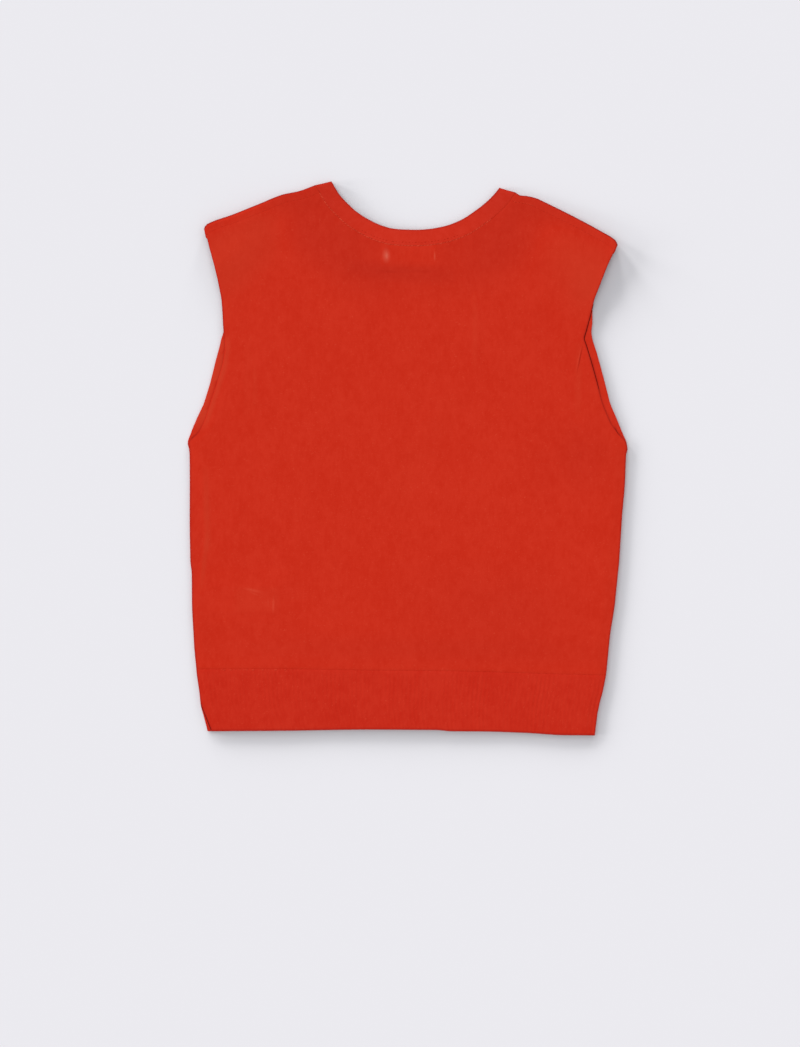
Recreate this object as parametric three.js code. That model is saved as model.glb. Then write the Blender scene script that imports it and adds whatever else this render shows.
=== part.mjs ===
// A fine-knit sleeveless sweater laid flat with its back up, built as a maker sews it.
// Millimetres. X runs across the garment, Y from the hem to the shoulders and Z up from the table.
import * as THREE from 'three';

// Cloth walls and the air between the two layers
const jersey = 1.2; // wall of the plain knit
const bandWall = 1.8; // the neckband is knitted double
const seamGap = 0.3; // pieces are parted by this at every seam
const layerLift = 3.1; // middle of the upper layer's wall above the table, away from its edges
const edgeDrop = 1.0; // the upper layer comes down by this to meet the lower one at the side seams
const edgeReach = 12; // width over which it comes down
const hemDrop = 0.5; // and by this at the free edge of the hem
const hemReach = 24;
// Long low waves that loose cloth keeps: their height, and their lengths over a whole turn
const swell = { height: 0.25, lengthX: 41, lengthY: 67, crossX: 88, crossY: 53, edge: 40 };

// Shoulder fold: the front wraps over it and is sewn to the back a little way down
const wrap = 9; // width of the front that shows on the back
const foldRise = 1.2; // the fold is fuller than the flat cloth
const foldReach = 26;
const foldSteps = 6; // facets round the half turn of the fold
const besideFold = 3; // the fold takes its height from the cloth this far in

// Neck: the back neckline is part of a circle, the front one a deeper half oval
const neckCentre = new THREE.Vector2(9.1, 334.9);
const neckRadius = 102.5; // free edge of the band
const bandWidth = 16;
const seamRadius = neckRadius + bandWidth;
const neckEnds = { freeLeft: 211.2, freeRight: 325.4, seamLeft: 208.9, seamRight: 327.1 }; // degrees
const frontNeckDrop = 92; // from the neck points down to the free edge of the front
const firstTurn = 0.06; // of the front neckline, just below the neck points

// Hem: fine rib, raised on the outer face of the upper layer
const ribPitch = 4.3;
const ribDepth = 0.4;

// Shoulder pads, each folded over the shoulder so that a quarter oval lies under the back
const padHeight = 3.2; // rise of the cloth over the pad
const padReach = { along: 84, down: 76 };
const padInset = { shoulder: 6, armhole: 5 }; // kept back from the fold and from the armhole
const padFull = 0.5; // share of the reach over which the cloth keeps its full rise
const padEnd = 1.08; // and the share at which the rise has faded out

// Labels sewn inside, blank
const labelWall = 1.0;
const labelGap = 0.5;
const labelReach = 26; // the cloth comes down this far outside a label
const neckLabel = { x: 2, y: 207, width: 53, height: 17, rise: 0.8 };
const careLabel = { x: -169, y: -143, width: 70, height: 27, rise: 0.9 };

// The side edges of both layers at each height. From the kink up, the front hides behind the back.
const underarm = 15;
const kink = 123;
const yoke = 165; // from here up, the net's rows run across to the neckline
const sections = table(['y', 'backLeft', 'backRight', 'frontLeft', 'frontRight'], [
  [-282, -198.4, 190.4, -203.4, 190.4],
  [-277, -200.2, 191.0, -204.5, 191.0],
  [-262, -206.0, 192.8, -208.3, 192.8],
  [-249, -211.0, 195.4, -211.6, 195.4],
  [-235, -213.0, 199.0, -213.0, 199.0],
  [-216, -214.2, 203.3, -214.2, 203.3],
  [-185, -218.3, 205.4, -218.3, 205.4],
  [-144, -220.3, 211.3, -220.3, 211.3],
  [-103, -222.3, 215.4, -222.3, 215.4],
  [-62, -222.5, 218.0, -222.5, 218.0],
  [-21, -222.4, 221.3, -222.4, 221.3],
  [4, -223.0, 222.6, -223.0, 222.6],
  [15, -224.2, 223.6, -224.4, 223.9],
  [27, -214.0, 213.4, -221.0, 219.2],
  [40, -207.4, 205.2, -216.0, 213.2],
  [60, -200.9, 197.4, -207.6, 205.4],
  [80, -194.3, 192.0, -201.9, 199.0],
  [101, -188.6, 186.0, -195.8, 193.6],
  [115, -186.8, 181.8, -191.6, 190.0],
  [123, -187.3, 179.5, -189.6, 187.8],
  [131, -188.2, 181.6, -187.6, 187.4],
  [147, -189.0, 186.0, -187.0, 188.0],
  [160, -189.9, 189.6, -187.6, 188.4],
  [176, -192.6, 195.0, -189.8, 192.4],
  [194, -196.6, 201.8, -193.8, 199.2],
  [207, -200.0, 208.6, -197.2, 205.8],
  [216, -202.5, 213.4, -199.8, 210.4],
  [226, -204.8, 216.0, -202.2, 213.2],
]);

// Heights of the hem seam and of the hem's free edge across the garment
const hem = table(['x', 'seam', 'edge'], [
  [-216, -214.0, -277.6],
  [-130, -213.8, -277.0],
  [-40, -215.2, -275.8],
  [50, -216.0, -276.0],
  [119, -218.0, -279.0],
  [160, -219.2, -281.2],
  [205, -220.3, -281.4],
]);

// The folded shoulder lines, from each tip to the neckband seam
const shoulderLeft = table(['x', 'y'], [
  [-206.8, 235.6],
  [-204.6, 239.6],
  [-197.3, 242.8],
  [-180.5, 248.2],
  [-152.0, 259.6],
  [-129.0, 269.4],
  [-110.0, 272.8],
  [-94.9, 277.5],
]);
const shoulderRight = table(['x', 'y'], [
  [214.6, 218.4],
  [213.4, 222.0],
  [210.2, 225.6],
  [196.7, 232.4],
  [172.4, 245.8],
  [138.0, 263.2],
  [114.0, 268.8],
  [108.9, 270.4],
]);
// Ways in from the fold at the two tips, on the back and on the front
const tipRun = { left: new THREE.Vector2(0.2, -0.98), right: new THREE.Vector2(-0.36, -0.93) };
const tipUnder = { left: new THREE.Vector2(0.42, -0.91), right: new THREE.Vector2(-0.5, -0.87) };
const neckUnder = new THREE.Vector2(0, -1);

// Soft ridges and troughs pressed into the upper layer, each from one point to another
const folds = table(['x0', 'y0', 'x1', 'y1', 'height', 'width'], [
  [-208, -21, -206, -83, 0.7, 6], // side seam turned under the back, left
  [-206, -83, -214, -134, 0.6, 5],
  [179.5, 122, 172, 92, -0.6, 4], // crease running on from the right armhole
  [-187, 128, -181, 100, -0.3, 5],
  [214, -18, 150, 30, -0.4, 22], // hollow below the right armhole
  [71, 157, 71, 92, 0.3, 7],
  [118, 252, 96, 214, -0.4, 16], // slack cloth between the pads and the neckband
  [-112, 262, -84, 212, -0.4, 18],
]);
const foldFade = 0.15; // share of a half wave that is cut off each end of a ridge or trough
const seamEnd = { from: 40, over: 80 }; // above the underarm the side edges are free of each other

// Net of each panel: spaces up the side, the lower armhole and the cap, and across shoulder and neck
const backNet = { side: 14, arm: 6, cap: 3, yoke: 4, shoulder: 7, neck: 20 };
const frontNet = { side: 8, arm: 4, cap: 3, yoke: 5, shoulder: 7, neck: 20 };
const bandAcross = 3;
const wrapRows = 3;
const hemRows = 2;
const frontHemColumns = 24;
const padNet = 7;
const labelNet = 8;

const labelRows = 2;
const red = 0xc8301d;

/** Rows of numbers as objects with named columns. */
function table(columns, rows) {
  return rows.map((row) => Object.fromEntries(columns.map((name, i) => [name, row[i]])));
}

/** 0 below 0, 1 above 1, and a smooth step between. */
function smooth(t) {
  return THREE.MathUtils.smoothstep(t, 0, 1);
}

function lerp(a, b, t) {
  return a + (b - a) * t;
}

/** The gentler of two slopes, or 0 where they differ in sign. */
function gentler(one, other) {
  if (one * other <= 0) return 0;
  return Math.abs(one) < Math.abs(other) ? one : other;
}

/** Value of one column at a place, on a smooth curve that never swings past a row of the table. */
function readTable(rows, key, column, at) {
  const last = rows.length - 1;
  let i = rows.findIndex((row) => row[key] > at) - 1;
  if (i < 0) i = at <= rows[0][key] ? 0 : last - 1;
  const [a, b] = [rows[i], rows[i + 1]];
  const slope = (p, q) => (q[column] - p[column]) / (q[key] - p[key]);
  const here = slope(a, b);
  const before = i > 0 ? gentler(slope(rows[i - 1], a), here) : here;
  const after = i + 2 <= last ? gentler(here, slope(b, rows[i + 2])) : here;
  const span = b[key] - a[key];
  const t = (at - a[key]) / span;
  const s = 1 - t;
  const first = a[column] * (1 + 2 * t) + before * span * t;
  const second = b[column] * (3 - 2 * t) - after * span * s;
  return first * s * s + second * t * t;
}

const sideAt = (column, y) => readTable(sections, 'y', column, y);
const hemAt = (column, x) => readTable(hem, 'x', column, x);

/** Distance from a point to a straight stretch, and the share of the stretch that it lies beside. */
function besideStretch(x, y, x0, y0, x1, y1) {
  const [dx, dy] = [x1 - x0, y1 - y0];
  const share = THREE.MathUtils.clamp(((x - x0) * dx + (y - y0) * dy) / (dx * dx + dy * dy), 0, 1);
  return { share, distance: Math.hypot(x - x0 - share * dx, y - y0 - share * dy) };
}

function distanceToLine(x, y, line) {
  const each = line.slice(1).map((p, i) => besideStretch(x, y, line[i].x, line[i].y, p.x, p.y).distance);
  return Math.min(...each);
}

/** The corner and the two directions that a pad is laid out on. */
function padPlace(side) {
  const line = side === 'left' ? shoulderLeft : shoulderRight;
  const corner = new THREE.Vector2(line[1].x, line[1].y);
  const along = new THREE.Vector2(line.at(-1).x, line.at(-1).y).sub(corner).normalize();
  return { corner, along, down: tipRun[side] };
}
const pads = { left: padPlace('left'), right: padPlace('right') };

/** How far out a point lies in a pad's quarter oval: 0 at the tip of the shoulder, 1 on its curved edge. */
function padShare(x, y, { corner, along, down }) {
  const [px, py] = [x - corner.x, y - corner.y];
  const det = along.x * down.y - along.y * down.x;
  const a = (px * down.y - py * down.x) / det / padReach.along;
  const b = (along.x * py - along.y * px) / det / padReach.down;
  return Math.hypot(Math.max(a, 0), Math.max(b, 0));
}

/** 1 over a label, falling to 0 in a soft border round it. */
function labelCover(x, y, label) {
  const inX = (label.width / 2 + labelReach - Math.abs(x - label.x)) / labelReach;
  const inY = (label.height / 2 + labelReach - Math.abs(y - label.y)) / labelReach;
  return smooth(inX) * smooth(inY);
}

/** Rise of a ridge, or depth of a trough, at a point. */
function foldHeight(x, y, { x0, y0, x1, y1, height, width }) {
  const { share, distance } = besideStretch(x, y, x0, y0, x1, y1);
  return height * (1 - smooth(distance / width)) * Math.sin(Math.PI * lerp(foldFade, 1 - foldFade, share));
}

/** Height of the middle of the upper layer's wall. Every piece that lies on top is laid on it. */
function topHeight(x, y) {
  const edge = Math.min(x - sideAt('backLeft', y), sideAt('backRight', y) - x);
  const inward = smooth(edge / edgeReach);
  const sewn = 1 - smooth((y - seamEnd.from) / seamEnd.over);
  const toShoulder = Math.min(distanceToLine(x, y, shoulderLeft), distanceToLine(x, y, shoulderRight));
  const along = Math.sin(x / swell.lengthX + y / swell.lengthY);
  const across = Math.cos(y / swell.crossY - x / swell.crossX);
  let z = layerLift + swell.height * along * across * smooth(edge / swell.edge);
  z -= edgeDrop * sewn * (1 - inward);
  z -= hemDrop * (1 - smooth((y - hemAt('edge', x)) / hemReach)) * inward;
  z += foldRise * (1 - smooth(toShoulder / foldReach));
  for (const pad of Object.values(pads)) {
    z += padHeight * (1 - smooth((padShare(x, y, pad) - padFull) / (padEnd - padFull)));
  }
  for (const label of [neckLabel, careLabel]) {
    z += label.rise * labelCover(x, y, label);
  }
  return folds.reduce((sum, fold) => sum + foldHeight(x, y, fold), z);
}

const onTop = (p) => new THREE.Vector3(p.x, p.y, topHeight(p.x, p.y));
const onTable = (p, thickness) => new THREE.Vector3(p.x, p.y, thickness / 2);

/** Cloth with no thickness: points, and quads that run counterclockwise seen from its outer face. */
class Sheet {
  points = [];
  quads = [];
  numbers = new Map();

  /** Number of a point. Blocks that meet share the points along their common edge. */
  number(point) {
    const place = point.toArray().map((n) => Math.round(n * 1000)).join(' ');
    if (!this.numbers.has(place)) this.numbers.set(place, this.points.push(point) - 1);
    return this.numbers.get(place);
  }

  /** Adds a block of quads between rows of points. */
  weave(rows) {
    const net = rows.map((row) => row.map((point) => this.number(point)));
    for (let j = 1; j < net.length; j++) {
      for (let i = 1; i < net[j].length; i++) {
        this.quads.push([net[j - 1][i - 1], net[j - 1][i], net[j][i], net[j][i - 1]]);
      }
    }
    return this;
  }
}

/** Gives a sheet its thickness, half to each side, and closes it round its edges. */
function wall(sheet, thickness, raise = () => 0) {
  const { points, quads } = sheet;
  const normals = points.map(() => new THREE.Vector3());
  const [u, v] = [new THREE.Vector3(), new THREE.Vector3()];
  for (const quad of quads) {
    const [a, b, c, d] = quad.map((n) => points[n]);
    u.subVectors(c, a).cross(v.subVectors(d, b));
    quad.forEach((n) => normals[n].add(u));
  }
  normals.forEach((normal) => normal.normalize());
  const count = points.length;
  const outer = points.map((p, n) => p.clone().addScaledVector(normals[n], thickness / 2 + raise(n)));
  const inner = points.map((p, n) => p.clone().addScaledVector(normals[n], -thickness / 2));
  const faces = [];
  const open = new Map();
  for (const [a, b, c, d] of quads) {
    faces.push([a, b, c], [a, c, d], [a + count, c + count, b + count], [a + count, d + count, c + count]);
    for (const [from, to] of [[a, b], [b, c], [c, d], [d, a]]) {
      if (!open.delete(`${to} ${from}`)) open.set(`${from} ${to}`, [from, to]);
    }
  }
  for (const [from, to] of open.values()) {
    faces.push([to, from, from + count], [to, from + count, to + count]);
  }
  const places = [...outer, ...inner].flatMap((p) => p.toArray());
  const geometry = new THREE.BufferGeometry();
  geometry.setAttribute('position', new THREE.Float32BufferAttribute(places, 3));
  geometry.setIndex(faces.flat());
  geometry.computeVertexNormals();
  return geometry;
}

/** Share of an edge's length that lies before each of its points. */
function lengthShares(edge) {
  let length = 0;
  const lengths = edge.map((p, i) => (length += i ? p.distanceTo(edge[i - 1]) : 0));
  return lengths.map((before) => before / length);
}

/** Fills the space between four edges, given as lists of points that share their corners. */
function fillEdges(bottom, top, left, right) {
  const [us, vs] = [lengthShares(top), lengthShares(left)];
  return vs.map((v, j) => us.map((u, i) => {
    const point = new THREE.Vector2();
    point.addScaledVector(bottom[i], 1 - v).addScaledVector(top[i], v);
    point.addScaledVector(left[j], 1 - u).addScaledVector(right[j], u);
    point.addScaledVector(bottom[0], -(1 - u) * (1 - v)).addScaledVector(bottom.at(-1), -u * (1 - v));
    return point.addScaledVector(top[0], -(1 - u) * v).addScaledVector(top.at(-1), -u * v);
  }));
}

/**
 * A panel's net in three blocks: the body, and a shoulder on each side of the neck.
 * The last rows of each side edge run across to the steep upper stretches of the neckline.
 */
function fillPanel(left, right, { leftShoulder, neck, rightShoulder }, rows) {
  const base = (shoulder, from, to) => lengthShares(shoulder).map((share) => from.clone().lerp(to, share));
  const waist = left.length - 1 - rows;
  const leftBase = base(leftShoulder, left[waist], neck[rows]);
  const rightBase = base(rightShoulder, neck.at(-1 - rows), right[waist]);
  const top = [...leftBase, ...neck.slice(rows + 1, -1 - rows), ...rightBase];
  return [
    fillEdges(hemSeam(left[0], right[0], top), top, left.slice(0, waist + 1), right.slice(0, waist + 1)),
    fillEdges(leftBase, leftShoulder, left.slice(waist), neck.slice(0, rows + 1).reverse()),
    fillEdges(rightBase, rightShoulder, neck.slice(-1 - rows), right.slice(waist)),
  ];
}

function spread(first, last) {
  return Array.from({ length: last - first + 1 }, (_, i) => first + i);
}

/** A side edge of a panel from the hem seam to its corner at the shoulder, with a point at each bend. */
function sideEdge(column, corner, net) {
  const foot = hemAt('seam', sideAt(column, hemAt('seam', 0))) + seamGap / 2;
  const bends = [foot, underarm, kink, yoke, corner.y];
  const spaces = [net.side, net.arm, net.cap, net.yoke];
  const leg = (n, k) => spread(1, n).map((i) => lerp(bends[k], bends[k + 1], i / n));
  const heights = [foot, ...spaces.flatMap(leg)];
  const edge = heights.map((y) => new THREE.Vector2(sideAt(column, y), y));
  return [...edge.slice(0, -1), corner];
}

/** The hem seam under a panel, spaced as the panel's top is. */
function hemSeam(leftFoot, rightFoot, top) {
  return lengthShares(top).map((share) => {
    const p = leftFoot.clone().lerp(rightFoot, share);
    if (share > 0 && share < 1) p.y = hemAt('seam', p.x) + seamGap / 2;
    return p;
  });
}

/** Point of the neck circle at an angle in degrees. */
function onNeck(radius, degrees) {
  const angle = THREE.MathUtils.degToRad(degrees);
  return new THREE.Vector2(radius * Math.cos(angle), radius * Math.sin(angle)).add(neckCentre);
}

const degreesOf = (length, radius) => THREE.MathUtils.radToDeg(length / radius);

/** Stations on a shoulder's fold from tip to neck: a point on the folded edge and the ways in from it. */
function shoulderStations(side, count) {
  const line = side === 'left' ? shoulderLeft : shoulderRight;
  const through = line.map((p) => new THREE.Vector3(p.x, p.y, 0));
  const curve = new THREE.CatmullRomCurve3(through, false, 'centripetal');
  const inward = side === 'left' ? neckEnds.seamLeft + 90 : neckEnds.seamRight - 90;
  const inner = onNeck(1, inward).sub(neckCentre);
  return spread(0, count).map((i) => {
    const t = i / count;
    const edge = curve.getPointAt(t);
    const run = tipRun[side].clone().lerp(inner, t).normalize();
    const under = tipUnder[side].clone().lerp(neckUnder, t).normalize();
    return { edge: new THREE.Vector2(edge.x, edge.y), run, under };
  });
}

/** A point at a distance in from a station's folded edge. */
const inFrom = ({ edge, run }, distance) => edge.clone().addScaledVector(run, distance);

/** Radius of a fold's middle line, from the height of the upper layer beside it. */
function foldRadius(point, thickness) {
  return (topHeight(point.x, point.y) - thickness / 2) / 2;
}

/** The half turn of a fold at a station, from the table up to the upper layer. */
function halfTurn(station, thickness) {
  const radius = foldRadius(inFrom(station, besideFold), thickness);
  const axis = radius + thickness / 2;
  const steps = spread(0, foldSteps).map((k) => {
    const turn = Math.PI * (k / foldSteps - 0.5);
    const way = station.under.clone().lerp(station.run, k / foldSteps);
    const p = station.edge.clone().addScaledVector(way, axis - radius * Math.cos(turn));
    return new THREE.Vector3(p.x, p.y, thickness / 2 + radius * (1 + Math.sin(turn)));
  });
  return { axis, steps };
}

/** Angles along the back neckline, between the two shoulder seams, for the share of the band's width. */
function backNeckAngles(across) {
  const turn = degreesOf(wrap + seamGap, neckRadius + across * bandWidth);
  const from = lerp(neckEnds.freeLeft, neckEnds.seamLeft, across) + turn;
  const to = lerp(neckEnds.freeRight, neckEnds.seamRight, across) - turn;
  return spread(0, backNet.neck).map((i) => lerp(from, to, i / backNet.neck));
}

/** Turns along the front neckline, from left to right. */
const frontTurns = spread(0, frontNet.neck).map((i) => {
  return lerp(firstTurn, Math.PI - firstTurn, i / frontNet.neck);
});

/** The back: from the hem seam to the shoulder seams and the neckband seam. */
function backPanel() {
  const inset = wrap + seamGap;
  const leftShoulder = shoulderStations('left', backNet.shoulder).map((s) => inFrom(s, inset));
  const rightShoulder = shoulderStations('right', backNet.shoulder).map((s) => inFrom(s, inset)).reverse();
  const inner = backNeckAngles(1).slice(1, -1).map((degrees) => onNeck(seamRadius + seamGap, degrees));
  const neck = [leftShoulder.at(-1), ...inner, rightShoulder[0]];
  const left = sideEdge('backLeft', leftShoulder[0], backNet);
  const right = sideEdge('backRight', rightShoulder.at(-1), backNet);
  const sheet = new Sheet();
  for (const rows of fillPanel(left, right, { leftShoulder, neck, rightShoulder }, backNet.yoke)) {
    sheet.weave(rows.map((row) => row.map(onTop)));
  }
  return wall(sheet, jersey);
}

/** A point of the front neckline: across is 0 on the free edge and 1 on the seam, grow moves it out. */
function onFrontNeck(across, turn, grow = 0) {
  const ends = (share) => {
    const radius = neckRadius + share * bandWidth;
    const from = onNeck(radius, lerp(neckEnds.freeLeft, neckEnds.seamLeft, share));
    const to = onNeck(radius, lerp(neckEnds.freeRight, neckEnds.seamRight, share));
    return { middle: from.clone().lerp(to, 0.5), half: to.clone().sub(from).multiplyScalar(0.5) };
  };
  const { middle, half } = ends(across);
  half.setLength(half.length() + grow);
  const lowest = ends(0).middle.y - frontNeckDrop - across * bandWidth;
  const drop = middle.y - lowest + grow;
  return middle.addScaledVector(half, -Math.cos(turn)).add(new THREE.Vector2(0, -drop * Math.sin(turn)));
}

/** The front: flat on the table, then round each shoulder fold to its seam on the back. */
function frontPanel() {
  const strips = ['left', 'right'].map((side) => {
    return shoulderStations(side, frontNet.shoulder).map((station) => {
      const { axis, steps } = halfTurn(station, jersey);
      const ins = spread(1, wrapRows).map((k) => lerp(axis, wrap, k / wrapRows));
      return [...steps, ...ins.map((distance) => onTop(inFrom(station, distance)))];
    });
  });
  const [leftShoulder, rightShoulder] = strips.map((strip) => {
    return strip.map(([foot]) => new THREE.Vector2(foot.x, foot.y));
  });
  rightShoulder.reverse();
  const inner = frontTurns.map((turn) => onFrontNeck(1, turn, seamGap));
  const neck = [leftShoulder.at(-1), ...inner, rightShoulder[0]];
  const left = sideEdge('frontLeft', leftShoulder[0], frontNet);
  const right = sideEdge('frontRight', rightShoulder.at(-1), frontNet);
  const sheet = new Sheet();
  for (const rows of fillPanel(left, right, { leftShoulder, neck, rightShoulder }, frontNet.yoke)) {
    // The outer face lies down, so the rows run from right to left
    sheet.weave(rows.map((row) => row.map((p) => onTable(p, jersey)).reverse()));
  }
  strips[0].reverse();
  for (const strip of strips) {
    sheet.weave(strip[0].map((_, k) => strip.map((column) => column[k])));
  }
  return wall(sheet, jersey);
}

/** The band's half turn at a neck point, along one line across its width. */
function bandTurn(across, { free, seam, way, turn }) {
  const radius = neckRadius + across * bandWidth;
  const degrees = lerp(free, seam, across);
  const edge = onNeck(radius, degrees);
  const run = onNeck(radius, degrees + way * degreesOf(besideFold, radius)).sub(edge).normalize();
  const half = foldRadius(edge.clone().addScaledVector(run, besideFold), bandWall);
  const axis = half + bandWall / 2;
  const front = onFrontNeck(across, turn + (way * axis) / frontNeckDrop);
  return spread(0, foldSteps).map((n) => {
    const angle = Math.PI * (n / foldSteps - 0.5);
    const reach = axis - half * Math.cos(angle);
    const low = edge.clone().lerp(front, reach / axis);
    const p = low.lerp(edge.clone().addScaledVector(run, reach), n / foldSteps);
    return new THREE.Vector3(p.x, p.y, bandWall / 2 + half * (1 + Math.sin(angle)));
  });
}

/** The neckband: on the back neckline, under at both neck points and round the front, in one ring. */
function neckband() {
  const left = { free: neckEnds.freeLeft, seam: neckEnds.seamLeft, way: 1, turn: 0 };
  const right = { free: neckEnds.freeRight, seam: neckEnds.seamRight, way: -1, turn: Math.PI };
  const rails = spread(0, bandAcross).map((k) => {
    const across = k / bandAcross;
    const radius = neckRadius + across * bandWidth;
    const back = backNeckAngles(across).map((degrees) => onTop(onNeck(radius, degrees)));
    const front = frontTurns.map((turn) => onTable(onFrontNeck(across, turn), bandWall)).reverse();
    return [...bandTurn(across, left), ...back, ...bandTurn(across, right).reverse(), ...front];
  });
  return wall(new Sheet().weave(rails.map((rail) => [...rail, rail[0]]).reverse()), bandWall);
}

/** One layer of the hem between its two side edges. Its columns are spaced evenly. */
function hemSheet(columns, leftColumn, rightColumn, place) {
  const rows = spread(0, hemRows).map((j) => {
    const level = (x) => lerp(hemAt('edge', x), hemAt('seam', x) - seamGap / 2, j / hemRows);
    return spread(0, columns).map((i) => {
      const near = level(lerp(hem[0].x, hem.at(-1).x, i / columns));
      const x = lerp(sideAt(leftColumn, near), sideAt(rightColumn, near), i / columns);
      return place(new THREE.Vector2(x, level(x)));
    });
  });
  return new Sheet().weave(rows);
}

/** The upper hem, its ribs raised by moving every other line of outer points. */
function hemBack() {
  const seam = hemAt('seam', 0);
  const columns = 2 * Math.round((sideAt('backRight', seam) - sideAt('backLeft', seam)) / ribPitch);
  const rib = (n) => ((n % (columns + 1)) % 2 === 1 ? ribDepth : 0);
  return wall(hemSheet(columns, 'backLeft', 'backRight', onTop), jersey, rib);
}

function hemFront() {
  return wall(hemSheet(frontHemColumns, 'frontLeft', 'frontRight', (p) => onTable(p, jersey)), jersey);
}

/** A solid between a lower and an upper height over a net of plan points. */
function slab(rows, lower, upper) {
  const sheet = new Sheet().weave(rows.map((row) => row.map((p) => new THREE.Vector3(p.x, p.y, 0))));
  const geometry = wall(sheet, 1);
  const place = geometry.getAttribute('position');
  const count = sheet.points.length;
  for (let n = 0; n < place.count; n++) {
    const point = sheet.points[n % count];
    place.setZ(n, n < count ? upper(point.x, point.y) : lower(point.x, point.y));
  }
  geometry.computeVertexNormals();
  return geometry;
}

/** Height just under the upper layer's inner face. */
const underBack = (x, y) => topHeight(x, y) - jersey / 2 - seamGap;

/** A pad under one shoulder: a quarter oval, thick at the tip and thin at its curved edge. */
function shoulderPad(side) {
  const { corner, along, down } = pads[side];
  const start = corner.clone().addScaledVector(down, padInset.shoulder);
  start.addScaledVector(along, padInset.armhole);
  const [width, length] = [padReach.along - padInset.armhole, padReach.down - padInset.shoulder];
  const rows = spread(0, padNet).map((j) => {
    return spread(0, padNet).map((i) => {
      const [p, q] = [i / padNet, j / padNet];
      const point = start.clone().addScaledVector(along, width * p * Math.sqrt(1 - (q * q) / 2));
      return point.addScaledVector(down, length * q * Math.sqrt(1 - (p * p) / 2));
    });
  });
  const ordered = side === 'left' ? rows.reverse() : rows;
  return slab(ordered, () => jersey + seamGap, underBack);
}

/** A blank label under the back. */
function label({ x, y, width, height }) {
  const rows = spread(0, labelRows).map((j) => {
    return spread(0, labelNet).map((i) => {
      return new THREE.Vector2(x + width * (i / labelNet - 0.5), y + height * (j / labelRows - 0.5));
    });
  });
  const upper = (px, py) => underBack(px, py) + seamGap - labelGap;
  return slab(rows, (px, py) => upper(px, py) - labelWall, upper);
}

const vest = new THREE.Group();
const cloth = { color: red, roughness: 0.92, metalness: 0 };
const pieces = {
  back: [backPanel(), cloth],
  front: [frontPanel(), cloth],
  neckband: [neckband(), cloth],
  hem_back: [hemBack(), cloth],
  hem_front: [hemFront(), cloth],
  shoulder_pad_left: [shoulderPad('left'), { color: red, roughness: 0.95, metalness: 0 }],
  shoulder_pad_right: [shoulderPad('right'), { color: red, roughness: 0.95, metalness: 0 }],
  neck_label: [label(neckLabel), { color: 0xe9e4dc, roughness: 0.7, metalness: 0 }],
  care_label: [label(careLabel), { color: 0xf1efea, roughness: 0.7, metalness: 0 }],
};
for (const [name, [geometry, finish]] of Object.entries(pieces)) {
  const mesh = new THREE.Mesh(geometry, new THREE.MeshStandardMaterial(finish));
  mesh.name = name;
  vest.add(mesh);
}

// The origin is the middle of the garment on the table
const middle = new THREE.Box3().setFromObject(vest).getCenter(new THREE.Vector3());
vest.position.set(-middle.x, -middle.y, 0);

export default vest;
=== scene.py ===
"""Dresses a knitted sleeveless sweater that lies flat with its back up, and sets it in a plain studio.

The plan of the garment is drawn in millimetres, X to the right, Y from the hem to the shoulders and Z up
from the table. Each sewn piece is a net of cloth laid on that plan, given its wall, its rounded edges and
its yarn.
"""
import logging
import math
from collections.abc import Callable, Iterable
from dataclasses import dataclass
from enum import Enum
from typing import Any, ClassVar

import bpy
import numpy as np
from bpy.types import Material, Node, NodeSocket, NodeTree, Object
from mathutils import Matrix, Vector


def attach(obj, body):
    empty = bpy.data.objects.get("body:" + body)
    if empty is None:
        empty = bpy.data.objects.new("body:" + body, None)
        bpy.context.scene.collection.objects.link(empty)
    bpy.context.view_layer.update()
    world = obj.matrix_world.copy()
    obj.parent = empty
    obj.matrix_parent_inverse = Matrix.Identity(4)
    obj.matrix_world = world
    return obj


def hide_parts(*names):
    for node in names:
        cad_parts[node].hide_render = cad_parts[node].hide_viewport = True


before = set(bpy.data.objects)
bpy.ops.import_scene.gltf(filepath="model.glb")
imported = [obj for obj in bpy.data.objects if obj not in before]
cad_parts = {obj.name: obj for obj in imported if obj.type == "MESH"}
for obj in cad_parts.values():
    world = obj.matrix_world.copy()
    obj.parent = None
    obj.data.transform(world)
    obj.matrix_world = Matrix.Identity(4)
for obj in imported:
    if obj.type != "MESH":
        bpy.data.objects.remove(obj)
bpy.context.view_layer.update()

MM = 0.001  # a millimetre in scene units
DATUM = np.array([0.25, -0.248, 0.0])  # from the plan's zero to the part's origin
BODY = "root"
JOIN = 0.01  # points closer than this are one, in millimetres
NEAR = 1.0  # an edge whose middle lies within this of a seam is sewn there, in millimetres
MIX_FROM, MIX_TO, MIXED = 6, 7, 2  # sockets of a Mix node's two colours and of its result
log = logging.getLogger("sweater")

Net = np.ndarray  # rows x columns x 3 numbers, in millimetres
Points = np.ndarray  # a row of plan points
Value = np.ndarray | float


class Side(Enum):
    """The two sides of the garment, as seen from above."""

    LEFT = "left"
    RIGHT = "right"


class Layer(Enum):
    """The two layers of the garment. The back lies on top."""

    UPPER = "back"
    LOWER = "front"


class Hold(Enum):
    """How a sheet of cloth is held."""

    LAID = "laid"
    FOLDED = "folded"
    STRETCHED = "stretched"


def smooth(t: Value) -> Value:
    """0 below 0, 1 above 1, and a smooth step between."""
    t = np.clip(t, 0.0, 1.0)
    return t * t * (3.0 - 2.0 * t)


def lerp(a: Value, b: Value, t: Value) -> Value:
    """The value at share t of the way from a to b."""
    return a + (b - a) * t


def hump(t: Value) -> Value:
    """A soft hump: 0 at and outside -1 and 1, and 1 at 0."""
    return 1.0 - smooth(np.abs(t))


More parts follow.
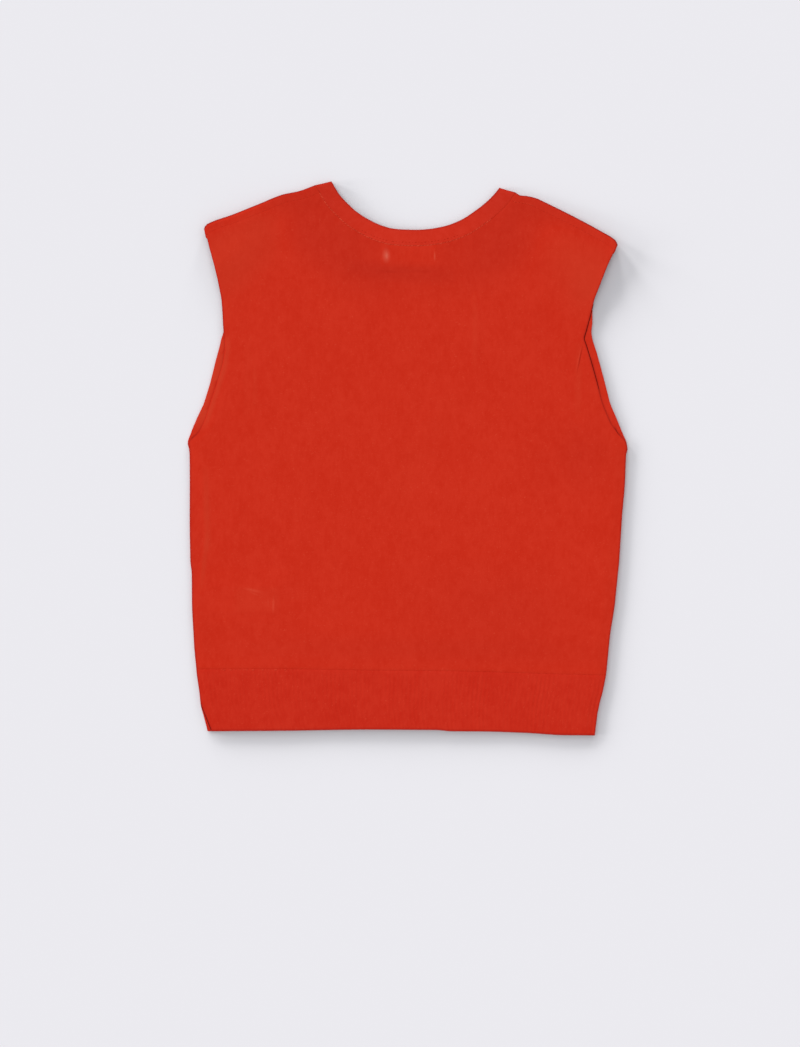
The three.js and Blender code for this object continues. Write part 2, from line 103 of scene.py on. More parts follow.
@dataclass(frozen=True)
class Ramp:
    """A smooth step between two places on any measure."""

    start: float
    end: float

    def rise(self, at: Value) -> Value:
        """0 before the start and 1 past the end."""
        return smooth((at - self.start) / (self.end - self.start))

    def fall(self, at: Value) -> Value:
        """1 before the start and 0 past the end."""
        return 1 - self.rise(at)


def length_shares(edge: Points) -> np.ndarray:
    """Share of an edge's length that lies before each of its points.

    Args:
        edge: the points of the edge, in order.

    Returns:
        One number for each point, from 0 to 1.
    """
    steps = np.linalg.norm(np.diff(edge, axis=0), axis=1)
    lengths = np.concatenate([[0.0], np.cumsum(steps)])
    return lengths / lengths[-1]


def resample(path: Points, count: int) -> Points:
    """Evenly spaced points along a path.

    Args:
        path: points that the path runs through, close together.
        count: number of points wanted, the ends among them.

    Returns:
        The new points, as many numbers to each as in the path.
    """
    shares = length_shares(path)
    wanted = np.linspace(0.0, 1.0, count)
    return np.stack([np.interp(wanted, shares, path[:, k]) for k in range(path.shape[1])], axis=1)


def fill_edges(bottom: Points, top: Points, left: Points, right: Points) -> np.ndarray:
    """Fills the space between four edges that share their corners.

    Args:
        bottom: lower edge, from left to right.
        top: upper edge, from left to right. It spaces the columns.
        left: left edge, upwards. It spaces the rows.
        right: right edge, upwards.

    Returns:
        Rows of plan points.
    """
    u = length_shares(top)[None, :, None]
    v = length_shares(left)[:, None, None]
    across = bottom[None] * (1 - v) + top[None] * v
    upward = left[:, None] * (1 - u) + right[:, None] * u
    low = bottom[0] * (1 - u) + bottom[-1] * u
    high = top[0] * (1 - u) + top[-1] * u
    return across + upward - low * (1 - v) - high * v


def smooth_line(points: Points, per_span: int = 40) -> Points:
    """A smooth line through points, with no swing where they are close together.

    Args:
        points: plan points that the line passes through.
        per_span: number of short steps between two of them.

    Returns:
        The points of the line.
    """
    ends = np.vstack([2 * points[0] - points[1], points, 2 * points[-1] - points[-2]])
    t = np.linspace(0.0, 1.0, per_span, endpoint=False)[:, None]
    spans = []
    for a, b, c, d in zip(ends, ends[1:], ends[2:], ends[3:]):
        before, here, after = (math.sqrt(np.linalg.norm(q - p)) for p, q in ((a, b), (b, c), (c, d)))
        leave = ((b - a) / before - (c - a) / (before + here) + (c - b) / here) * here
        reach = ((c - b) / here - (d - b) / (here + after) + (d - c) / after) * here
        bend, twist = 3 * (c - b) - 2 * leave - reach, 2 * (b - c) + leave + reach
        spans.append(b + leave * t + bend * t**2 + twist * t**3)
    return np.vstack([*spans, points[-1:]])


class Table:
    """Rows of numbers with named columns. The first column is the key that the others are read by."""

    def __init__(self, columns: str, rows: list[tuple[float, ...]]) -> None:
        """Keeps the rows.

        Args:
            columns: names of the columns, with spaces between them.
            rows: the numbers.
        """
        self.names = columns.split()
        self.rows = np.array(rows, float)

    def column(self, name: str) -> np.ndarray:
        """The numbers of one column."""
        return self.rows[:, self.names.index(name)]

    def read(self, name: str, at: Value) -> np.ndarray:
        """Reads one column on a smooth curve that never swings past a row.

        Args:
            name: the column.
            at: places in the key column.

        Returns:
            The values there.
        """
        keys, values = self.rows[:, 0], self.column(name)
        slopes = np.diff(values) / np.diff(keys)
        gentler = np.where(np.abs(slopes[:-1]) < np.abs(slopes[1:]), slopes[:-1], slopes[1:])
        inner = np.where(slopes[:-1] * slopes[1:] > 0, gentler, 0.0)
        tangents = np.concatenate([slopes[:1], inner, slopes[-1:]])
        i = np.clip(np.searchsorted(keys, at, side="right") - 1, 0, len(keys) - 2)
        span = keys[i + 1] - keys[i]
        t = (at - keys[i]) / span
        first = values[i] * (1 + 2 * t) + tangents[i] * span * t
        second = values[i + 1] * (3 - 2 * t) - tangents[i + 1] * span * (1 - t)
        return first * (1 - t) ** 2 + second * t**2


SIDES = Table("y back_left back_right front_left front_right", [
    (-282, -198.4, 190.4, -203.4, 190.4),
    (-277, -200.2, 191.0, -204.5, 191.0),
    (-262, -206.0, 192.8, -208.3, 192.8),
    (-249, -211.0, 195.4, -211.6, 195.4),
    (-235, -213.0, 199.0, -213.0, 199.0),
    (-216, -215.6, 202.4, -215.6, 202.4),
    (-185, -218.3, 205.4, -218.3, 205.4),
    (-144, -220.2, 211.3, -220.2, 211.3),
    (-118, -220.4, 213.9, -220.4, 213.9),
    (-103, -221.9, 215.4, -221.9, 215.4),
    (-62, -222.5, 218.0, -222.5, 218.0),
    (-21, -222.4, 221.3, -222.4, 221.3),
    (4, -222.6, 222.3, -222.6, 222.3),
    (11, -223.2, 223.5, -223.3, 224.1),
    (16, -223.8, 222.6, -224.7, 223.0),
    (27, -214.0, 213.4, -221.2, 218.5),
    (40, -207.4, 205.2, -215.8, 213.2),
    (60, -200.9, 197.4, -207.0, 205.2),
    (80, -194.3, 192.0, -201.0, 200.1),
    (101, -188.6, 186.0, -195.8, 194.5),
    (115, -186.8, 181.8, -192.0, 190.3),
    (123, -187.3, 179.5, -190.1, 187.8),
    (129.5, -188.0, 181.2, -188.2, 187.0),
    (139, -188.6, 183.8, -187.2, 188.0),
    (147, -189.0, 186.0, -187.0, 188.0),
    (160, -189.9, 189.2, -187.6, 188.4),
    (176, -192.6, 195.1, -189.8, 192.0),
    (194, -196.6, 202.0, -193.8, 198.4),
    (207, -200.0, 207.9, -197.2, 204.6),
    (216, -202.5, 212.3, -199.8, 209.2),
    (226, -204.8, 214.7, -202.2, 212.0),
])
HEM = Table("x seam edge", [
    (-216, -214.0, -277.6),
    (-130, -213.8, -277.0),
    (-40, -215.2, -275.8),
    (28, -215.8, -276.2),
    (45, -216.0, -277.5),
    (80, -216.8, -277.8),
    (119, -218.0, -279.1),
    (160, -219.2, -281.5),
    (205, -220.3, -281.9),
])
# The folded shoulder lines, from each tip to the seam of the neckband
SHOULDERS = {
    Side.LEFT: Table("x y", [
        (-207.6, 234.2), (-205.8, 238.2), (-197.8, 242.4), (-180.5, 248.3), (-152.0, 259.7),
        (-129.0, 269.1), (-110.0, 273.3), (-94.45, 279.15),
    ]),
    Side.RIGHT: Table("x y", [
        (213.3, 218.0), (212.2, 221.4), (208.9, 224.8), (196.4, 232.1), (171.8, 245.4),
        (139.6, 261.6), (131.0, 265.6), (120.5, 268.1), (114.2, 268.6), (109.37, 271.75),
    ]),
}
# The ways in from each shoulder's tip: down the armhole in the upper layer, and in the lower one
TIP_RUN = {Side.LEFT: (0.2, -0.98), Side.RIGHT: (-0.36, -0.93)}
TIP_UNDER = {Side.LEFT: (0.42, -0.91), Side.RIGHT: (-0.5, -0.87)}
# How far the knitted neckline strays out from its circle, by the angle round the neck's centre
NECKLINE = Table("degrees out", [
    (208.3, -0.9), (212.0, -1.0), (216.0, -0.4), (220.0, 0.15), (227.0, 0.3),
    (233.0, 0.8), (240.0, 0.85), (249.0, 1.05), (254.0, 0.9), (260.0, 0.0),
    (266.0, -0.9), (272.0, -1.1), (281.0, -1.0), (290.0, -0.65), (297.0, -0.7),
    (305.0, -1.2), (311.0, -0.95), (320.0, -0.3), (323.4, -0.1), (327.8, 0.0),
])
# Soft ridges and troughs in the upper layer, each from one point to another
FOLDS = Table("x0 y0 x1 y1 height width", [
    (-208, -21, -206, -83, 0.7, 6),
    (-206, -83, -214, -134, 0.6, 5),
    (179.5, 122, 172, 92, -0.6, 4),
    (-187, 128, -181, 100, -0.3, 5),
    (214, -18, 150, 30, -0.4, 22),
    (71, 157, 71, 92, 0.3, 7),
    (118, 252, 96, 214, -0.4, 16),
    (-112, 262, -84, 212, -0.4, 18),
])
# Creases too narrow for the plain solid: round the labels, at the right armhole and beside the seams
CREASES = Table("x0 y0 x1 y1 height width", [
    (178.0, 120.0, 170.6, 91.0, 0.34, 2.2),
    (-167.3, -130.6, -146.9, -137.7, 0.26, 2.6),
    (-165.0, -134.5, -150.0, -139.5, -0.14, 2.4),
    (-136.7, -139.0, -137.9, -159.5, 0.26, 2.2),
    (-24.0, 215.5, -24.4, 199.5, 0.34, 2.4),
    (27.2, 214.5, 27.4, 200.5, 0.3, 2.0),
    (-31.0, 190.7, 33.0, 190.3, -0.24, 3.6),
    (-215.0, -10.0, -216.5, -70.0, -0.25, 4.0),
    (152.0, 214.0, 128.0, 176.0, -0.14, 15.0),
    (-128.0, -60.0, -96.0, -92.0, 0.12, 16.0),
    (96.0, -120.0, 142.0, -96.0, 0.12, 18.0),
])
# Painted light and shade: stretches drawn paler (above 0) or deeper (below 0), where creases and slopes
# catch or lose the light
TONES = Table("x0 y0 x1 y1 amount width", [
    (-206.5, -12, -204.5, -92, 0.5, 5.5),
    (-204.8, -78, -211, -134, 0.5, 5.0),
    (-156, 95, -156, 55, 0.25, 3.5),
    (-163, 125, -165, 40, 0.12, 6.0),
    (68, 168, 68, 92, 0.26, 4.5),
    (50, 60, -20, -40, 0.08, 26.0),
    (174, 115, 173, 40, 0.26, 6.0),
    (150, -6, 214, 10, -0.15, 60.0),
    (140, 246, 202, 216, -0.2, 28.0),
    (184, 196, 174, 152, 0.12, 24.0),
    (-203, 236, -186, 240, -0.14, 20.0),
    (-216, -30, -213, -200, -0.12, 16.0),
    (20, -150, 170, -160, -0.14, 70.0),
    (-56, 194, 40, 187, -0.2, 15.0),
    (-200, -190, 190, -200, -0.12, 26.0),
])


@dataclass(frozen=True)
class Rectangle:
    """A label's place under the back, in millimetres."""

    x: float
    y: float
    width: float
    height: float
    rise: float

    def cover(self, x: Value, y: Value, reach: float) -> Value:
        """1 over the label, falling to 0 in a border round it.

        Args:
            x: places across the garment.
            y: places along it.
            reach: width of the border.

        Returns:
            The cover there.
        """
        in_x = (self.width / 2 + reach - np.abs(x - self.x)) / reach
        in_y = (self.height / 2 + reach - np.abs(y - self.y)) / reach
        return smooth(in_x) * smooth(in_y)


NECK_LABEL = Rectangle(2.0, 207.0, 53.0, 17.0, 0.8)
CARE_LABEL = Rectangle(-169.0, -143.0, 70.0, 27.0, 0.9)


@dataclass(frozen=True)
class Stations:
    """Places on a shoulder's fold from tip to neck: the edge, and the ways in from it above and below."""

    edge: Points
    run: Points
    under: Points

    def inward(self, distance: Value) -> Points:
        """Points at a distance in from the folded edge, on the side in view."""
        return self.edge + np.reshape(distance, (-1, 1)) * self.run


@dataclass(frozen=True)
class Cut:
    """The plan of the garment, in millimetres and degrees."""

    jersey: float = 1.2
    seam_gap: float = 0.04  # linked pieces meet, with only a hair between them
    band_wall: float = 1.8
    band_width: float = 16.0
    neck_centre: tuple[float, float] = (9.1, 334.9)
    neck_radius: float = 102.5
    free_left: float = 210.75
    free_right: float = 325.2
    seam_left: float = 208.3
    seam_right: float = 327.8
    front_neck_drop: float = 92.0
    first_turn: float = 0.06
    wrap: float = 9.0
    underarm: float = 15.0
    kink: float = 123.0
    yoke: float = 165.0

    @property
    def seam_radius(self) -> float:
        """Radius of the seam between the neckband and the back."""
        return self.neck_radius + self.band_width

    def stray(self, degrees: Value) -> Value:
        """How far the neckline strays out from its circle at an angle."""
        return NECKLINE.read("out", np.clip(degrees, NECKLINE.rows[0, 0], NECKLINE.rows[-1, 0]))

    def from_seam(self, x: Value, y: Value) -> Value:
        """Distance out from the seam of the neckband."""
        x, y = x - self.neck_centre[0], y - self.neck_centre[1]
        return np.hypot(x, y) - self.seam_radius - self.stray(np.degrees(np.arctan2(y, x)) % 360)

    def on_neck(self, radius: Value, degrees: Value) -> Points:
        """Points of the back neck, nearly a circle.

        Args:
            radius: distance from the neck's centre.
            degrees: angles, counterclockwise from +X.

        Returns:
            The plan points.
        """
        angle, away = np.radians(degrees), radius + self.stray(degrees)
        return np.stack([away * np.cos(angle), away * np.sin(angle)], axis=-1) + self.neck_centre

    def stations(self, side: Side, count: int) -> Stations:
        """Evenly spaced places on a shoulder's fold.

        Args:
            side: the shoulder.
            count: number of spaces between the places.

        Returns:
            The stations, from the tip to the neck.
        """
        half_chord = math.degrees(self.wrap / self.seam_radius) / 2
        if side is Side.LEFT:
            inward = math.radians(self.seam_left + 90 + half_chord)
        else:
            inward = math.radians(self.seam_right - 90 - half_chord)
        neck_run = np.array([math.cos(inward), math.sin(inward)])
        neck_under = np.array([0.0, -1.0])
        t = np.linspace(0.0, 1.0, count + 1)[:, None]
        run = lerp(np.array(TIP_RUN[side]), neck_run, t)
        under = lerp(np.array(TIP_UNDER[side]), neck_under, t)
        edge = resample(smooth_line(SHOULDERS[side].rows), count + 1)
        unit = [way / np.linalg.norm(way, axis=1, keepdims=True) for way in (run, under)]
        return Stations(edge, *unit)

    def side_edge(self, column: str, corner: Points, spaces: tuple[int, ...]) -> Points:
        """A side edge of a panel, from the hem seam to its corner at the shoulder.

        Args:
            column: column of the table of sides.
            corner: the plan point where the edge ends.
            spaces: number of spaces up the side, the lower armhole, the cap and the yoke.

        Returns:
            The plan points of the edge.
        """
        foot = HEM.read("seam", SIDES.read(column, HEM.read("seam", 0.0))) + self.seam_gap / 2
        bends = [float(foot), self.underarm, self.kink, self.yoke, corner[1]]
        legs = [np.linspace(a, b, n, endpoint=False) for a, b, n in zip(bends, bends[1:], spaces)]
        y = np.concatenate(legs)
        return np.vstack([np.stack([SIDES.read(column, y), y], axis=1), corner])

    def hem_seam(self, left: Points, right: Points, top: Points) -> Points:
        """The hem seam under a panel, spaced as the panel's top is.

        Args:
            left: left foot of the panel.
            right: right foot of the panel.
            top: the panel's top edge.

        Returns:
            The plan points of the seam.
        """
        points = lerp(left, right, length_shares(top)[:, None])
        points[1:-1, 1] = HEM.read("seam", points[1:-1, 0]) + self.seam_gap / 2
        return points

    def panel(
        self, column: str, shoulders: dict[Side, Points], neck: Points, spaces: tuple[int, ...]
    ) -> list[np.ndarray]:
        """A panel's net in three blocks: the body, and a shoulder on each side of the neck.

        Args:
            column: "back" or "front", the first word of the columns of its side edges.
            shoulders: the shoulder edge of each side, from left to right.
            neck: inner points of the neck edge, from left to right.
            spaces: number of spaces up the side, the lower armhole, the cap and the yoke.

        Returns:
            Three blocks of rows of plan points.
        """
        left_top, right_top = shoulders[Side.LEFT], shoulders[Side.RIGHT]
        left = self.side_edge(f"{column}_left", left_top[0], spaces)
        right = self.side_edge(f"{column}_right", right_top[-1], spaces)
        neck = np.vstack([left_top[-1:], neck, right_top[:1]])
        rows = spaces[-1]
        waist = len(left) - 1 - rows
        left_base = lerp(left[waist], neck[rows], length_shares(left_top)[:, None])
        right_base = lerp(neck[-1 - rows], right[waist], length_shares(right_top)[:, None])
        top = np.vstack([left_base, neck[rows + 1:-1 - rows], right_base])
        seam = self.hem_seam(left[0], right[0], top)
        return [
            fill_edges(seam, top, left[:waist + 1], right[:waist + 1]),
            fill_edges(left_base, left_top, left[waist:], neck[:rows + 1][::-1]),
            fill_edges(right_base, right_top, neck[-1 - rows:], right[waist:]),
        ]

    def back_neck(self, across: float, count: int, inset: float | None = None) -> np.ndarray:
        """Angles along the back neckline.

        Args:
            across: share of the band's width, 0 at its free edge.
            count: number of spaces.
            inset: distance in from the shoulder folds, or nothing for that of the shoulder seams.

        Returns:
            The angles, in degrees.
        """
        inset = self.wrap + self.seam_gap if inset is None else inset
        turn = math.degrees(inset / (self.neck_radius + across * self.band_width))
        first = lerp(self.free_left, self.seam_left, across) + turn
        last = lerp(self.free_right, self.seam_right, across) - turn
        return np.linspace(first, last, count + 1)

    def front_turns(self, count: int) -> np.ndarray:
        """Turns along the front neckline, from left to right."""
        return np.linspace(self.first_turn, math.pi - self.first_turn, count + 1)

    def on_front_neck(self, across: float, turn: Value, grow: float = 0.0) -> Points:
        """Points of the front neckline, a half oval deeper than the back's circle.

        Args:
            across: share of the band's width, 0 at its free edge.
            turn: turns along the neckline.
            grow: how far the points move out.

        Returns:
            The plan points.
        """
        def ends(share: float) -> tuple[Points, Points]:
            """Where the two neck points lie.

            Args:
                share: share of the band's width.

            Returns:
                The middle between them, and the way from there to the right one.
            """
            radius = self.neck_radius + share * self.band_width
            first = self.on_neck(radius, lerp(self.free_left, self.seam_left, share))
            last = self.on_neck(radius, lerp(self.free_right, self.seam_right, share))
            return (first + last) / 2, (last - first) / 2

        middle, half = ends(across)
        half = half * (1 + grow / np.linalg.norm(half))
        lowest = ends(0.0)[0][1] - self.front_neck_drop - across * self.band_width
        drop = middle[1] - lowest + grow
        turn = np.asarray(turn)[..., None]
        return middle - half * np.cos(turn) - np.array([0.0, drop]) * np.sin(turn)


@dataclass(frozen=True)
class Pad:
    """Plan of a shoulder pad: a quarter oval whose corner is the tip of the shoulder, in millimetres."""

    side: Side
    along_reach: float = 84.0
    down_reach: float = 76.0
    shoulder_inset: float = 6.0
    armhole_inset: float = 5.0

    @property
    def corner(self) -> Points:
        """The tip of the shoulder."""
        return SHOULDERS[self.side].rows[1]

    @property
    def along(self) -> Points:
        """The way from the tip to the neck."""
        way = SHOULDERS[self.side].rows[-1] - self.corner
        return way / np.linalg.norm(way)

    @property
    def down(self) -> Points:
        """The way from the tip down the armhole."""
        return np.array(TIP_RUN[self.side])

    def share(self, x: Value, y: Value) -> Value:
        """How far out points lie in the quarter oval: 0 at the tip, 1 on its curved edge.

        Args:
            x: places across the garment.
            y: places along it.

        Returns:
            The shares.
        """
        along, down = self.along, self.down
        px, py = x - self.corner[0], y - self.corner[1]
        det = along[0] * down[1] - along[1] * down[0]
        a = (px * down[1] - py * down[0]) / det / self.along_reach
        b = (along[0] * py - along[1] * px) / det / self.down_reach
        return np.hypot(np.maximum(a, 0), np.maximum(b, 0))


@dataclass(frozen=True)
class Relief:
    """Heights of the upper layer over the table, in millimetres."""

    cut: Cut
    lift: float = 3.1  # middle of the upper layer's wall, away from its edges
    edge_drop: float = 1.0
    edge_reach: float = 12.0
    side_seam: Ramp = Ramp(40.0, 120.0)  # the edge drops beside a side seam, and not up the armhole
    hem_drop: float = 0.5
    hem_reach: float = 24.0
    swell_height: float = 0.25
    swell_lengths: tuple[float, ...] = (41.0, 67.0, 53.0, 88.0)  # of its slow waves, in x, y, y and x
    swell_reach: float = 40.0
    fold_rise: float = 1.2
    fold_reach: float = 26.0
    pad_height: float = 3.2
    pad_fade: Ramp = Ramp(0.5, 1.08)  # in shares of the pad
    label_reach: float = 26.0
    fold_fade: float = 0.15
    neck_groove: float = 0.12  # the cloth dips into each linked seam
    hem_groove: float = 0.3
    groove_width: float = 2.6
    pucker: float = 0.1  # the linking draws the cloth up in short waves
    neck_waves: tuple[float, ...] = (74.0, 47.0)  # two waves' radians for each radian round the neck
    neck_second: tuple[float, ...] = (0.7, 1.3)  # height and start of the second wave
    neck_pucker_at: float = 5.0  # how far from the seam the puckers are highest
    hem_pucker: float = 0.7  # share of their height beside the hem seam
    hem_waves: tuple[float, ...] = (1.9, 3.1)  # millimetres for each radian
    hem_second: float = 0.8  # start of the second wave there
    hem_pucker_at: float = 4.0
    pucker_reach: float = 6.0
    selvedge: float = 0.3  # the armhole's knitted edge stands a little proud
    selvedge_width: float = 5.0
    selvedge_start: float = 16.0  # it grows over this length above the underarm
    label_edge: float = 0.22
    label_edge_reach: float = 2.5
    ripple: float = 0.05  # knit never lies quite flat
    ripple_lengths: tuple[float, ...] = (17.0, 23.0, 19.0, 31.0)
    ripple_bends: tuple[float, ...] = (0.6, 0.8)
    ripple_reach: float = 15.0
    pads: tuple[Pad, ...] = (Pad(Side.LEFT), Pad(Side.RIGHT))

    def inside(self, x: Value, y: Value) -> Value:
        """Distance in from the nearer side edge of the back."""
        return np.minimum(x - SIDES.read("back_left", y), SIDES.read("back_right", y) - x)

    def beside(self, x: Value, y: Value, ends: Points) -> tuple[Value, Value]:
        """Places points beside a straight stretch.

        Args:
            x: places across the garment.
            y: places along it.
            ends: x and y of the two ends of the stretch, four numbers.

        Returns:
            The share of the stretch that each point lies beside, and its distance.
        """
        x0, y0, x1, y1 = ends
        dx, dy = x1 - x0, y1 - y0
        share = np.clip(((x - x0) * dx + (y - y0) * dy) / (dx * dx + dy * dy), 0, 1)
        return share, np.hypot(x - x0 - share * dx, y - y0 - share * dy)

    def folds(self, x: Value, y: Value, table: Table) -> Value:
        """The summed height of a table's ridges and troughs.

        Args:
            x: places across the garment.
            y: places along it.
            table: rows with two ends, a height and a width.

        Returns:
            The height at each place.
        """
        total = 0.0
        for *ends, height, width in table.rows:
            share, distance = self.beside(x, y, ends)
            along = np.sin(math.pi * lerp(self.fold_fade, 1 - self.fold_fade, share))
            total = total + height * hump(distance / width) * along
        return total

    def to_shoulder(self, x: Value, y: Value) -> Value:
        """Distance from the nearer shoulder fold."""
        stretches = [np.hstack([a, b]) for t in SHOULDERS.values() for a, b in zip(t.rows, t.rows[1:])]
        return np.minimum.reduce([self.beside(x, y, ends)[1] for ends in stretches])

    def plain(self, x: Value, y: Value) -> Value:
        """Height of the middle of the upper layer's wall, as its plain solid has it.

        Args:
            x: places across the garment.
            y: places along it.

        Returns:
            The heights.
        """
        edge = self.inside(x, y)
        inward = smooth(edge / self.edge_reach)
        a, b, c, d = self.swell_lengths
        waves = np.sin(x / a + y / b) * np.cos(y / c - x / d) * smooth(edge / self.swell_reach)
        z = self.lift + self.swell_height * waves - self.edge_drop * self.side_seam.fall(y) * (1 - inward)
        z = z - self.hem_drop * (1 - smooth((y - HEM.read("edge", x)) / self.hem_reach)) * inward
        z = z + self.fold_rise * (1 - smooth(self.to_shoulder(x, y) / self.fold_reach))
        for pad in self.pads:
            z = z + self.pad_height * self.pad_fade.fall(pad.share(x, y))
        for label in (NECK_LABEL, CARE_LABEL):
            z = z + label.rise * label.cover(x, y, self.label_reach)
        return z + self.folds(x, y, FOLDS)

    def fine(self, x: Value, y: Value) -> Value:
        """Form too fine for the plain solid: seams, puckers, the selvedge, labels' edges and small creases.

        Args:
            x: places across the garment.
            y: places along it.

        Returns:
            The heights to add.
        """
        cut = self.cut
        edge = self.inside(x, y)
        from_neck = cut.from_seam(x, y)
        from_hem = y - HEM.read("seam", x)
        z = self.folds(x, y, CREASES)
        z = z - self.neck_groove * hump(from_neck / self.groove_width)
        z = z - self.hem_groove * hump(from_hem / self.groove_width)
        turn = np.arctan2(y - cut.neck_centre[1], x - cut.neck_centre[0])
        (first, second), (share, start) = self.neck_waves, self.neck_second
        short = np.sin(turn * first) + share * np.sin(turn * second + start)
        z = z + self.pucker * short * hump((from_neck - self.neck_pucker_at) / self.pucker_reach)
        first, second = self.hem_waves
        short = np.sin(x / first) + np.sin(x / second + self.hem_second)
        by_hem = hump((from_hem - self.hem_pucker_at) / self.pucker_reach)
        z = z + self.hem_pucker * self.pucker * short * by_hem
        armhole = smooth((y - cut.underarm) / self.selvedge_start)
        z = z + self.selvedge * armhole * hump((edge - self.selvedge_width / 2) / (self.selvedge_width / 2))
        for label in (NECK_LABEL, CARE_LABEL):
            z = z + self.label_edge * label.cover(x, y, self.label_edge_reach)
        (a, b, c, d), (bend, other) = self.ripple_lengths, self.ripple_bends
        loose = np.sin(x / a + bend * np.sin(y / b)) * np.sin(y / c + other * np.sin(x / d))
        return z + self.ripple * loose * smooth(edge / self.ripple_reach)

    def top(self, x: Value, y: Value) -> Value:
        """Height of the middle of the upper layer's wall, with all its form."""
        return self.plain(x, y) + self.fine(x, y)

    def on_top(self, points: Points) -> Net:
        """Lays plan points on the upper layer."""
        return np.concatenate([points, self.top(points[..., 0], points[..., 1])[..., None]], axis=-1)


@dataclass(frozen=True)
class Tone:
    """Painted light and shade on the cloth: how pale or deep it is drawn from place to place, from -1 to 1.
    """

    relief: Relief
    light_over_pad: float = 0.32  # painted light where the raised pads catch it, with the knit stretched open over them
    pad_fade: Ramp = Ramp(0.62, 1.32)  # in shares of the pad
    pad_fold: float = 24.0  # and less so within this of the shoulder fold
    over_neck_label: float = 0.1
    neck_label_reach: float = 5.0
    over_care_label: float = 0.2
    care_label_reach: float = 10.0
    seen_label: Rectangle = Rectangle(-154.0, -143.5, 34.0, 14.0, 0.0)
    # painted highlight in a strip along the left armhole's edge, where it faces the light
    armhole_edge: float = 0.6
    armhole_foot: Ramp = Ramp(24.0, 44.0)
    armhole_top: Ramp = Ramp(118.0, 130.0)
    armhole_strip: Ramp = Ramp(3.5, 7.5)
    by_neckband: float = -0.27  # painted shade where the cloth slopes away from the light between the pads and the neckband
    neck_shade_fade: Ramp = Ramp(30.0, 76.0)
    neck_shade_least: float = 0.35  # below the middle of the neck
    neck_shade_side: float = 34.0  # full from this angle on, in degrees from the middle
    neck_shade_band: Ramp = Ramp(20.0, 56.0)  # in degrees too
    turned_down: float = -1.8  # an edge that turns down to the table takes less light
    steep: float = 0.88  # upright part of a normal where that begins
    outline: float = -0.8  # painted shade in a band along the edges of the upper layer
    outline_width: float = 1.9
    bared_top: float = 2.5  # the front's strips that show beside the back lie lower than this
    bared_from: float = 0.5

    def at(self, points: Net, upright: np.ndarray) -> np.ndarray:
        """The painted light and shade at points of the garment.

        Args:
            points: the points.
            upright: the upright part of the surface's normal at each.

        Returns:
            The tones.
        """
        relief = self.relief
        x, y, z = points.T
        tone = relief.folds(x, y, TONES)
        # Painted light over the raised pads
        for pad in relief.pads:
            covered = self.pad_fade.fall(pad.share(x, y))
            tone = tone + self.light_over_pad * covered * smooth(relief.to_shoulder(x, y) / self.pad_fold)
        tone = tone + self.over_neck_label * NECK_LABEL.cover(x, y, self.neck_label_reach)
        tone = tone + self.over_care_label * self.seen_label.cover(x, y, self.care_label_reach)
        # Painted shade round the neck, between the pads and the neckband
        tone = tone + self.by_neckband * self.neck_shade(x, y)
        # Painted highlight along the left armhole's edge, on the back and on the front's strip beside it
        open_edge = self.armhole_foot.rise(y) * self.armhole_top.fall(y)
        from_left = x - SIDES.read("back_left", y)
        tone = tone + self.armhole_edge * open_edge * self.armhole_strip.fall(from_left)
        # Painted shade: on faces that turn down from the light, and in a band along the upper layer's edges
        rim = self.turned_down * (1 - smooth(upright / self.steep))
        bared = (z < self.bared_top) & (relief.inside(x, y) < -self.bared_from)
        rim = rim + self.outline * ~bared * (1 - smooth(self.to_outline(x, y) / self.outline_width))
        return np.clip(tone + rim * (z > relief.cut.jersey), self.turned_down, 1.0)

    def to_outline(self, x: Value, y: Value) -> Value:
        """Distance in from the nearest edge of the upper layer: its sides, shoulders, neckline or hem.

        Args:
            x: places across the garment.
            y: places along it.

        Returns:
            The distances.
        """
        relief = self.relief
        from_neckline = relief.cut.from_seam(x, y) + relief.cut.band_width
        beside_side = y < SIDES.rows[-1, 0] - self.outline_width
        from_side = np.where(beside_side, relief.inside(x, y), np.inf)
        from_hem = y - HEM.read("edge", x)
        return np.minimum.reduce([from_side, relief.to_shoulder(x, y), from_neckline, from_hem])

    def neck_shade(self, x: Value, y: Value) -> Value:
        """How much painted shade lies round the neck, from 0 to 1.

        Args:
            x: places across the garment.
            y: places along it.

        Returns:
            The shade: on the back most towards the shoulders, and on the neckband only at its ends.
        """
        centre = self.relief.cut.neck_centre
        from_band = self.relief.cut.from_seam(x, y)
        to_side = np.abs(np.degrees(np.arctan2(x - centre[0], centre[1] - y)))
        on_back = lerp(self.neck_shade_least, 1.0, smooth(to_side / self.neck_shade_side))
        on_back = on_back * self.neck_shade_fade.fall(from_band)
        return np.where(from_band > 0, on_back, self.neck_shade_band.rise(to_side))

    def note(self, piece: Object) -> None:
        """Writes the painted light and shade on a piece as its tone, where its finish reads it.

        Args:
            piece: the finished mesh.
        """
        mesh = piece.data
        points = np.zeros(len(mesh.vertices) * 3, np.float32)
        mesh.vertices.foreach_get("co", points)
        normals = np.zeros(len(mesh.vertices) * 3, np.float32)
        mesh.vertex_normals.foreach_get("vector", normals)
        tones = self.at(points.reshape(-1, 3) / MM - DATUM, normals[2::3])
        mesh.attributes.new("tone", "FLOAT", "POINT").data.foreach_set("value", tones.astype(np.float32))


def to_scene(points: Net) -> np.ndarray:
    """Millimetres of the plan as metres in the part's frame."""
    return (points + DATUM) * MM


def deselect() -> None:
    """Leaves object mode with nothing selected."""
    if bpy.context.object and bpy.context.object.mode != "OBJECT":
        bpy.ops.object.mode_set(mode="OBJECT")
    bpy.ops.object.select_all(action="DESELECT")


